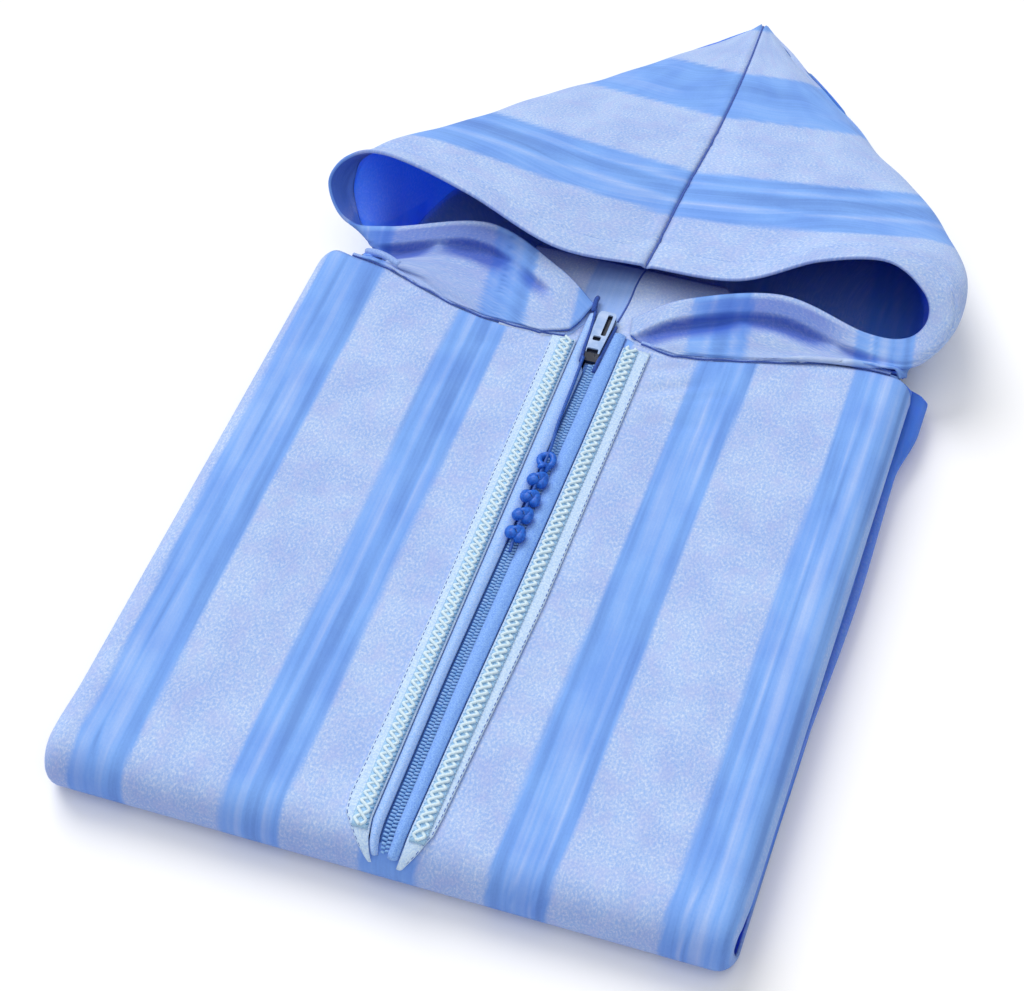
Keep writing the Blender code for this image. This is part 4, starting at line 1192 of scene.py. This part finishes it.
class OBJECT_OT_robe_back(bpy.types.Operator):
    """The back panel, from under the neckline round the shoulder fold and underneath"""

    bl_idname = "object.robe_back"
    bl_label = "Back panel"

    def execute(self, context):
        wall = context.scene.robe_cloth.wall / MM
        turn = np.concatenate([[0.0] * 4, np.linspace(0, pi, 30), [pi] * 2])[:, None]
        y = REAR_BEND + BACK_RADIUS * np.sin(turn)
        z = BACK_RADIUS + BACK_RADIUS * np.cos(turn)
        y[:4, 0] = np.linspace(322, REAR_BEND - 2, 4)
        y[-2:, 0] = (REAR_BEND - 1, UNDERSIDE_END + 0.5)
        share = np.linspace(-1, 1, 120)[None, :]
        x = share * (HALF_WIDTH - blend(23.0, 3.0, radians(70), radians(110), turn))
        top = np.maximum(np.cos(turn), 0)
        z = z - CROWN_DROP * (np.abs(x) / HALF_WIDTH) ** 4 * top
        wave = 0.5 * np.sin(x / 17) * np.sin(turn)
        places = points_at(x, y + wave, z)
        # Its stripes go on from where the front's cross the neckline
        stripe, tone = front_stripes(x, np.full(y.shape, 340.0))
        thing = cloth("back_cloth", places, x, y + 40 * turn, stripe, wall, cloth_looks(), tone=tone)
        laid(thing, "back")
        return {"FINISHED"}


class OBJECT_OT_robe_layers(bpy.types.Operator):
    """The folded layers that show along the packet's two sides"""

    bl_idname = "object.robe_layers"
    bl_label = "Folded side layers"

    def execute(self, context):
        robe = context.scene.robe_cloth
        for side, name in ((-1, "layers_left"), (1, "layers_right")):
            places = side_layers(side, robe.layer_step / MM)
            round_it = run_lengths(places, 1)
            stripe = blend(0, 1, 0.46, 0.54, 0.5 + 0.5 * np.sin(round_it / 11 + side))
            if side > 0:
                stripe = np.maximum(stripe, blend(0, 1, 270, 290, places[..., 1]))
            # Painted shade on the folded layers, deeper on the right
            thing = cloth(name, places, round_it, places[..., 1], stripe, robe.layer_wall / MM,
                          cloth_looks(), flipped=side > 0, fold=0.35 if side > 0 else 0.15)
            laid(thing, "folded_layers")
        return {"FINISHED"}


class OBJECT_OT_robe_hood(bpy.types.Operator):
    """The two halves of the hood, with their turned hems and the stitches along them"""

    bl_idname = "object.robe_hood"
    bl_label = "Hood"

    def execute(self, context):
        wall = context.scene.robe_cloth.hood_wall / MM
        hems, crown = [], []
        for word, table, side in (("left", HOOD_LEFT, -1), ("right", HOOD_RIGHT, 1)):
            thing, grid, places, out, from_hem = make_hood_half(
                f"hood_{word}_cloth", table, side, cloth_looks(), wall)
            laid(thing, f"hood_{word}")
            rows = [np.searchsorted(from_hem[:, k], HEM_BAND) for k in range(HOOD_COLUMNS)]
            hem = [grid[row, k] + out[row, k] * 0.1 for k, row in enumerate(rows)]
            hems.append(hem[STITCHED_COLUMNS])
            crown.append(grid[:, -1])
        sewn("hood_hem_stitches", hems, sink=0.1, radius=0.2, length=2.0, look=pale_thread_look())
        seam = (crown[0] + crown[1]) / 2 + (0, 0, 0.15)
        trimmed(swept("crown_seam_cord", seam, 0.5, 8, thread_look()))
        # The collar's strip fills the view behind the neck, and a seam runs down its middle
        share, x = np.linspace(0, 1, 24)[:, None], np.linspace(*COLLAR_X, 113)[None, :]
        y = neck_at(x) - 0.8 + (np.interp(x, *COLLAR_TOP) - neck_at(x)) * share
        places = points_at(x, y, np.interp(y, *COLLAR_HEIGHTS))
        # Its inner-face look paints it pale where it lies open, as painted light, with painted shade that
        # grows towards the right
        collar = cloth("neck_facing_cloth", places, x, y, in_band(x, -17.0, 7.0, 0.8), wall,
                       cloth_looks()[1:], depth=blend(0.0, 0.3, 12, 40, x))
        laid(collar)
        nape = swept("nape_seam_cord", smooth_route(NAPE_ROUTE, 1.0), 0.5, 8, thread_look())
        trimmed(nape)
        sewn("crown_seam_stitches", [seam + (0, 0, 0.3)], radius=0.42, length=2.6)
        return {"FINISHED"}


class OBJECT_OT_robe_placket(bpy.types.Operator):
    """The facings beside the zip, with the looped braid along each"""

    bl_idname = "object.robe_placket"
    bl_label = "Placket and braid"

    def execute(self, context):
        trim = context.scene.robe_trim
        # Plain-woven cotton strip: pale, matt, its 0.8 mm threads just seen
        binding = plain_textile(
            "Woven cotton facing", mixed(trim.braid, linear("#86A8EC"), 0.5),
            mixed(trim.braid, linear("#D8E6FB"), 0.6), thread_mm=0.8, roughness=0.85, sheen=0.1)
        # The braid's woven ground, deeper than its loops, so that they stand out
        ribbon = plain_textile(
            "Cotton braid ground", mixed(trim.braid, linear("#6FA6DC"), 0.75),
            mixed(trim.braid, linear("#8FC2EC"), 0.45), thread_mm=0.7, roughness=0.85, sheen=0.1)
        # A dark, plain thread that draws a broken line along the left braid
        teal = plain_textile("Braid's edge thread", linear("#3C78A8"), linear("#5C98CC"),
                             thread_mm=0.5, roughness=0.7, sheen=0.0)
        # Soft spun cotton loops, the palest thing on the robe, matt with no nap
        cotton = plain_textile(
            "Looped cotton braid", tuple(trim.braid), mixed(trim.braid, linear("#FFFFFF"), 0.5),
            thread_mm=0.5, roughness=0.8, sheen=0.0)
        pitch = trim.loop_pitch / MM
        for side, outer, inner, word, top in ((-1, 1, 2, "left", 318.5), (1, 4, 3, "right", 321.0)):
            low, high = (outer, inner) if side < 0 else (inner, outer)
            facing, places = strip(
                f"facing_{word}_cloth", lambda v: placket_at(v, low), lambda v: placket_at(v, high),
                np.arange(-4, top, 2.0), columns=14, lift=1.3, rise=0.5, wall=1.0, look=binding)
            laid(facing, f"facing_{word}")
            low, high = sorted((1.0 * side, 8.4 * side))
            tape, _ = strip(
                f"braid_{word}_tape", lambda v: placket_at(v, inner) + low,
                lambda v: placket_at(v, inner) + high, np.arange(9.0, top, 2.0), columns=9,
                lift=2.2, rise=0.3, wall=0.6, look=ribbon)
            trimmed(tape, f"braid_{word}")
            loops = []
            for phase, reach, radius in ((0, 2.6, 0.85), (pi, 2.5, 0.8)):
                turn = np.arange(0, 2 * pi * (top - 11) / pitch, pi / 12)
                v = 10 + turn * pitch / (2 * pi)
                swing = np.arcsin(0.96 * np.sin(turn + phase)) / np.arcsin(0.96)
                s = placket_at(v, inner) + side * (4.7 + reach * swing)
                lift = 2.85 + 0.5 * np.cos(turn + phase)
                loops.append(swept(f"braid_{word}_loop", on_packet(s, v, lift), radius, 6, cotton))
            trimmed(joined(f"braid_{word}_loops", loops))
            # Stitches along the left braid's edge at the zip, and along both of the right one's
            edges = []
            for away, tilt in ((1.3, 0.25), (8.0, -0.25))[:1 if side < 0 else 2]:
                for v in np.arange(11.0, top - 1, 2.4):
                    s = placket_at(v, inner) + side * away
                    ahead = on_packet(s + 0.5, v + tilt, 2.3) - on_packet(s - 0.5, v - tilt, 2.3)
                    edges.append((on_packet(s, v, 2.3), ahead, (0, 0, 1), 0.75, 0.3, 0.3))
            trimmed(repeated(f"braid_{word}_stitches", edges, teal if side < 0 else ribbon))
        return {"FINISHED"}


class OBJECT_OT_robe_zip(bpy.types.Operator):
    """The zip's two tapes, its coil of teeth and its slider"""

    bl_idname = "object.robe_zip"
    bl_label = "Zip"

    def execute(self, context):
        trim = context.scene.robe_trim
        white, black = linear("#FFFFFF"), linear("#000000")
        # Twill-woven polyester tape: even and matt. The left one is drawn paler than the right
        left_look = plain_textile(
            "Woven zip tape, folded over", mixed(trim.lip, linear("#6C9FEF"), 0.45),
            mixed(trim.lip, white, 0.25), thread_mm=0.6, roughness=0.85, sheen=0.1)
        right_look = plain_textile(
            "Woven zip tape", mixed(trim.lip, linear("#3F74DC"), 0.6), tuple(trim.lip),
            thread_mm=0.6, roughness=0.85, sheen=0.1)
        # The same tape darkened as painted shade under the coil, and its corded edge beside the slider, in
        # a darker blue
        shadow = plain_textile("Woven zip tape under the coil", linear("#3C6CC0"), linear("#5A8CDA"),
                               thread_mm=0.7)
        edging = plain_textile("Zip tape's corded edge", linear("#173A8C"), linear("#2B57B4"),
                               thread_mm=0.7)
        # Nylon monofilament, half glossy, so each turn of the coil takes a soft highlight
        nylon = hard_finish("Nylon coil", mixed(trim.teeth, black, 0.1),
                            mixed(trim.teeth, white, 0.15), patch_mm=1.5, roughness=0.5)
        for side, word, head, look in ((-1, "left", 338.0, left_look), (1, "right", 328.0, right_look)):
            if side < 0:
                left, right = lambda v: placket_at(v, 2) + 0.6, lambda v: tape_edge(v, -1) - 0.2
            else:
                left, right = lambda v: tape_edge(v, 1) - 0.2, lambda v: placket_at(v, 3) - 0.6
            tape, _ = strip(f"zip_tape_{word}_cloth", left, right, np.arange(0, head + 0.1, 2.0),
                            columns=13, lift=1.2, rise=1.7, wall=1.2, look=look)
            trimmed(tape, f"zip_tape_{word}")
        under, _ = strip(
            "zip_chain_tape", lambda v: chain_edge(v, -1) - 1.4, lambda v: chain_edge(v, 1) + 1.4,
            np.arange(0.0, 306.1, 2.0), columns=5, lift=-0.7, rise=0.2, wall=0.8, look=shadow)
        trimmed(under)
        pitch = trim.tooth_pitch / MM
        bars = []
        for side, start in ((-1, 0.0), (1, pitch / 2)):
            v = np.arange(1.5 + start, SLIDER_FOOT - 0.5, pitch)
            half = (chain_edge(v, 1) - chain_edge(v, -1)) / 2 - 0.35
            middle = (chain_edge(v, 1) + chain_edge(v, -1)) / 2 + 0.35 + side * half * 0.48
            for place, along, reach in zip(on_packet(middle, v, 0.2), v, half):
                # Each turn of the coil leans a little along the zip
                lean = side * 0.12
                ahead = on_packet(1.0, along + lean, 0.2) - on_packet(-1.0, along - lean, 0.2)
                up = on_packet(0.0, along, 1.0) - on_packet(0.0, along, 0.0)
                bars.append((place, ahead, up, reach * 0.56, pitch * 0.36, 0.8))
        trimmed(repeated("zip_coil", bars, nylon), "zip_chain")
        sides = [swept("zip_coil_side", smooth_route(route, 1.5), 0.95, 8, edging)
                 for route in TAPE_END_ROUTES]
        trimmed(joined("zip_coil_ends", sides))
        trimmed(swept("zip_top_stop", smooth_route(STOP_ROUTE, 0.6), 1.35, 10, edging))
        # Die-cast zinc under baked enamel: smooth, nearly even, with a thin clear gloss
        make_slider(hard_finish(
            "Enamelled zinc", mixed(trim.slider, black, 0.1), mixed(trim.slider, white, 0.2),
            patch_mm=5.0, roughness=0.38, coat=0.25, slot_shade_height=(SLIDER_TOP - 0.9) * MM))
        return {"FINISHED"}


class OBJECT_OT_robe_pull(bpy.types.Operator):
    """The slider's pull: a limp cord tied off in a row of knots"""

    bl_idname = "object.robe_pull"
    bl_label = "Knotted pull"

    def execute(self, context):
        trim = context.scene.robe_trim
        # Braided filament yarn: smoother than the cloth, with a wide soft highlight on each loop
        satin = plain_textile(
            "Satin braided cord", mixed(trim.cord, linear("#0B3FA8"), 0.7), tuple(trim.cord),
            thread_mm=1.6, roughness=0.45, sheen=0.0)
        # Thin cotton cord, waxed, so it reads darker and smoother than the knots
        waxed = plain_textile("Waxed cotton cord", linear("#123E94"), linear("#2560C0"),
                              thread_mm=0.8, roughness=0.5, sheen=0.0)
        # The first knot is a ring with a lashing through it, the others are pairs of lobes
        turn = np.linspace(0, 2 * pi, 41)[:-1]
        cos_turn, sin_turn = np.cos(turn), np.sin(turn)
        ring = points_at(KNOTS_X + 3.4 * cos_turn, 232.0 + 3.9 * sin_turn, 39.2 + 0.5 * np.sin(2 * turn))
        lash = points_at(KNOTS_X + 1.9 * cos_turn, 226.6 + 0.8 * np.sin(2 * turn), 39.8 + 1.9 * sin_turn)
        things = [swept("knot_ring", ring, 1.6 + 0.12 * np.sin(3 * turn), 12, satin, closed=True),
                  swept("knot_lash", lash, 1.1, 10, satin, closed=True)]
        across, along = 2.9 * sin_turn, 1.75 * np.sin(2 * turn)
        for y, tilt in KNOTS:
            lobes = points_at(KNOTS_X + across + tilt * along, y + along + tilt * across,
                              KNOTS_Z + 1.1 * cos_turn)
            thickness = 2.45 + 0.2 * np.cos(2 * turn + 1)
            things.append(swept("knot_lobes", lobes, thickness, 12, satin, closed=True))
            wrap = points_at(KNOTS_X + 2.1 * cos_turn, y + 0.9 * np.sin(turn + 0.6),
                             KNOTS_Z + 2.6 * sin_turn)
            things.append(swept("knot_wrap", wrap, 1.2, 10, satin, closed=True))
        knots = joined("pull_knot_row", things)
        trimmed(knots, "pull_knots")
        route = smooth_route(CORD_ROUTE, 3.0)
        curve = bpy.data.curves.new("pull_line", "CURVE")
        curve.dimensions = "3D"
        curve.bevel_depth = CORD_DIAMETER / 2 * MM
        curve.bevel_resolution = 4
        curve.use_fill_caps = True
        spline = curve.splines.new("POLY")
        spline.points.add(len(route) - 1)
        for point, place in zip(spline.points, placed(route)):
            point.co = (*place, 1.0)
        curve.materials.append(waxed)
        cord = in_scene("pull_line", curve)
        trimmed(cord, "pull_cord")
        return {"FINISHED"}


class OBJECT_OT_robe_stitches(bpy.types.Operator):
    """The seam round the neck and the stitches along the facings"""

    bl_idname = "object.robe_stitches"
    bl_label = "Seams and stitches"

    def execute(self, context):
        # Along each facing's outer edge, then round its foot
        paths = []
        for rows in (np.arange(8, 317, 3.0), np.linspace(-3.5, 8, 9)):
            for side, outer in ((-1, 1), (1, 4)):
                paths.append(on_packet(placket_at(rows, outer) - side * 0.7, rows, 1.35))
        sewn("placket_stitches", paths, radius=0.24, length=2.0)
        left_end, zip_left, zip_right, right_end = NECK_CORD_ENDS
        x = np.arange(left_end, right_end + 1.0)
        x = x[(x < zip_left) | (x > zip_right)]
        # Left of the zip the seam runs on straight where the neckline dips to the slit
        v = np.where((x > -30) & (x < 0), 318 + 0.1 * (x + 30), neck_at(x)) + 0.9
        places = on_packet(x, v + 0.3 * np.sin(x / 3.1), 0.1)
        left, right = places[x < 0], places[x > 0]
        # The cut edge inside the seam: the cloth's own yarn, pressed flat and a little deeper
        allowance = plain_textile("Cotton seam allowance", linear("#7FA0E2"), linear("#9DB9EE"),
                                  thread_mm=0.8)
        for word, path in (("left", left), ("right", right)):
            cord = swept(f"neck_cord_{word}", path + (0, 0.1, 0.15), 0.5, 8, thread_look())
            trimmed(cord)
            edge = swept(f"neck_allowance_{word}", path + (0, 1.1, -0.6), 1.4, 8, allowance)
            trimmed(edge)
        # At the neckline's left end the seam's layers are rolled over towards the hood
        roll = swept("neck_roll_left", smooth_route(NECK_ROLL_ROUTE, 1.5), 1.9, 10, allowance)
        trimmed(roll)
        sewn("neck_stitches", [left + (0, 0, 0.5), right + (0, 0, 0.5)], radius=0.3, length=2.5)
        return {"FINISHED"}


class OBJECT_OT_robe_stage(bpy.types.Operator):
    """The floor, the camera and the light"""

    bl_idname = "object.robe_stage"
    bl_label = "Stage"

    def execute(self, context):
        stage = context.scene.robe_stage
        mesh = bpy.data.meshes.new("floor")
        mesh.from_pydata([(-4, -4, 0), (4, -4, 0), (4, 4, 0), (-4, 4, 0)], [], [(0, 1, 2, 3)])
        # Uncoated paper sweep: nearly white and fully matt, so it only takes soft shadows
        paper, _, surface = new_material("Matt white paper")
        surface.inputs["Base Color"].default_value = linear("#FBFBFC")
        surface.inputs["Roughness"].default_value = 0.9
        mesh.materials.append(paper)
        in_scene("floor", mesh)
        world = bpy.data.worlds.new("Soft white studio")
        world.use_nodes = True
        tree = world.node_tree
        tree.nodes.clear()
        light = add_node(tree, "ShaderNodeBackground", {"Color": (1, 1, 1, 1), "Strength": stage.sky})
        add_node(tree, "ShaderNodeOutputWorld", {"Surface": light})
        context.scene.world = world
        for name, place, spread, strength in (
                ("key", (-0.9, 0.9, 1.5), 38, stage.key), ("overhead", (0.03, -0.5, 1.5), 60, stage.fill)):
            lamp = bpy.data.lights.new(name, "SUN")
            lamp.angle, lamp.energy = radians(spread), strength
            light = in_scene(name, lamp)
            light.location = place
            ahead = Vector(LAMP_TARGET) - light.location
            light.rotation_euler = ahead.to_track_quat("-Z", "Y").to_euler()
        turn, height = stage.azimuth, stage.elevation
        back = Vector((sin(turn) * cos(height), -cos(turn) * cos(height), sin(height)))
        lens = bpy.data.cameras.new("camera")
        lens.lens, lens.sensor_width, lens.clip_start = LENS, SENSOR_WIDTH, 0.05
        camera = in_scene("camera", lens)
        camera.location = Vector(CAMERA_TARGET) + back * stage.distance
        camera.rotation_euler = (-back).to_track_quat("-Z", "Y").to_euler()
        context.scene.camera = camera
        context.scene.view_settings.view_transform = "Standard"
        return {"FINISHED"}


class VIEW3D_PT_robe(bpy.types.Panel):
    """The robe's pieces and settings"""

    bl_label = "Folded hooded robe"
    bl_space_type = "VIEW_3D"
    bl_region_type = "UI"
    bl_category = "Robe"

    def draw(self, context):
        for operator in OPERATORS:
            self.layout.operator(operator.bl_idname)
        for group in (context.scene.robe_cloth, context.scene.robe_trim, context.scene.robe_stage):
            column = self.layout.column()
            for name in group.__annotations__:
                column.prop(group, name)


OPERATORS = (
    OBJECT_OT_robe_stage, OBJECT_OT_robe_pull, OBJECT_OT_robe_front, OBJECT_OT_robe_back,
    OBJECT_OT_robe_layers, OBJECT_OT_robe_placket, OBJECT_OT_robe_zip, OBJECT_OT_robe_hood,
    OBJECT_OT_robe_stitches)
CLASSES = (RobeCloth, RobeTrim, RobeStage, *OPERATORS, VIEW3D_PT_robe)


def register():
    for each in CLASSES:
        bpy.utils.register_class(each)
    bpy.types.Scene.robe_cloth = bpy.props.PointerProperty(type=RobeCloth)
    bpy.types.Scene.robe_trim = bpy.props.PointerProperty(type=RobeTrim)
    bpy.types.Scene.robe_stage = bpy.props.PointerProperty(type=RobeStage)


def unregister():
    del bpy.types.Scene.robe_cloth, bpy.types.Scene.robe_trim, bpy.types.Scene.robe_stage
    for each in reversed(CLASSES):
        bpy.utils.unregister_class(each)


def main():
    """Builds the robe and its stage."""
    register()
    bpy.ops.object.robe_stage()
    bpy.ops.object.robe_pull()
    bpy.ops.object.robe_front()
    bpy.ops.object.robe_back()
    bpy.ops.object.robe_layers()
    bpy.ops.object.robe_placket()
    bpy.ops.object.robe_zip()
    bpy.ops.object.robe_hood()
    bpy.ops.object.robe_stitches()


if __name__ == "__main__":
    main()
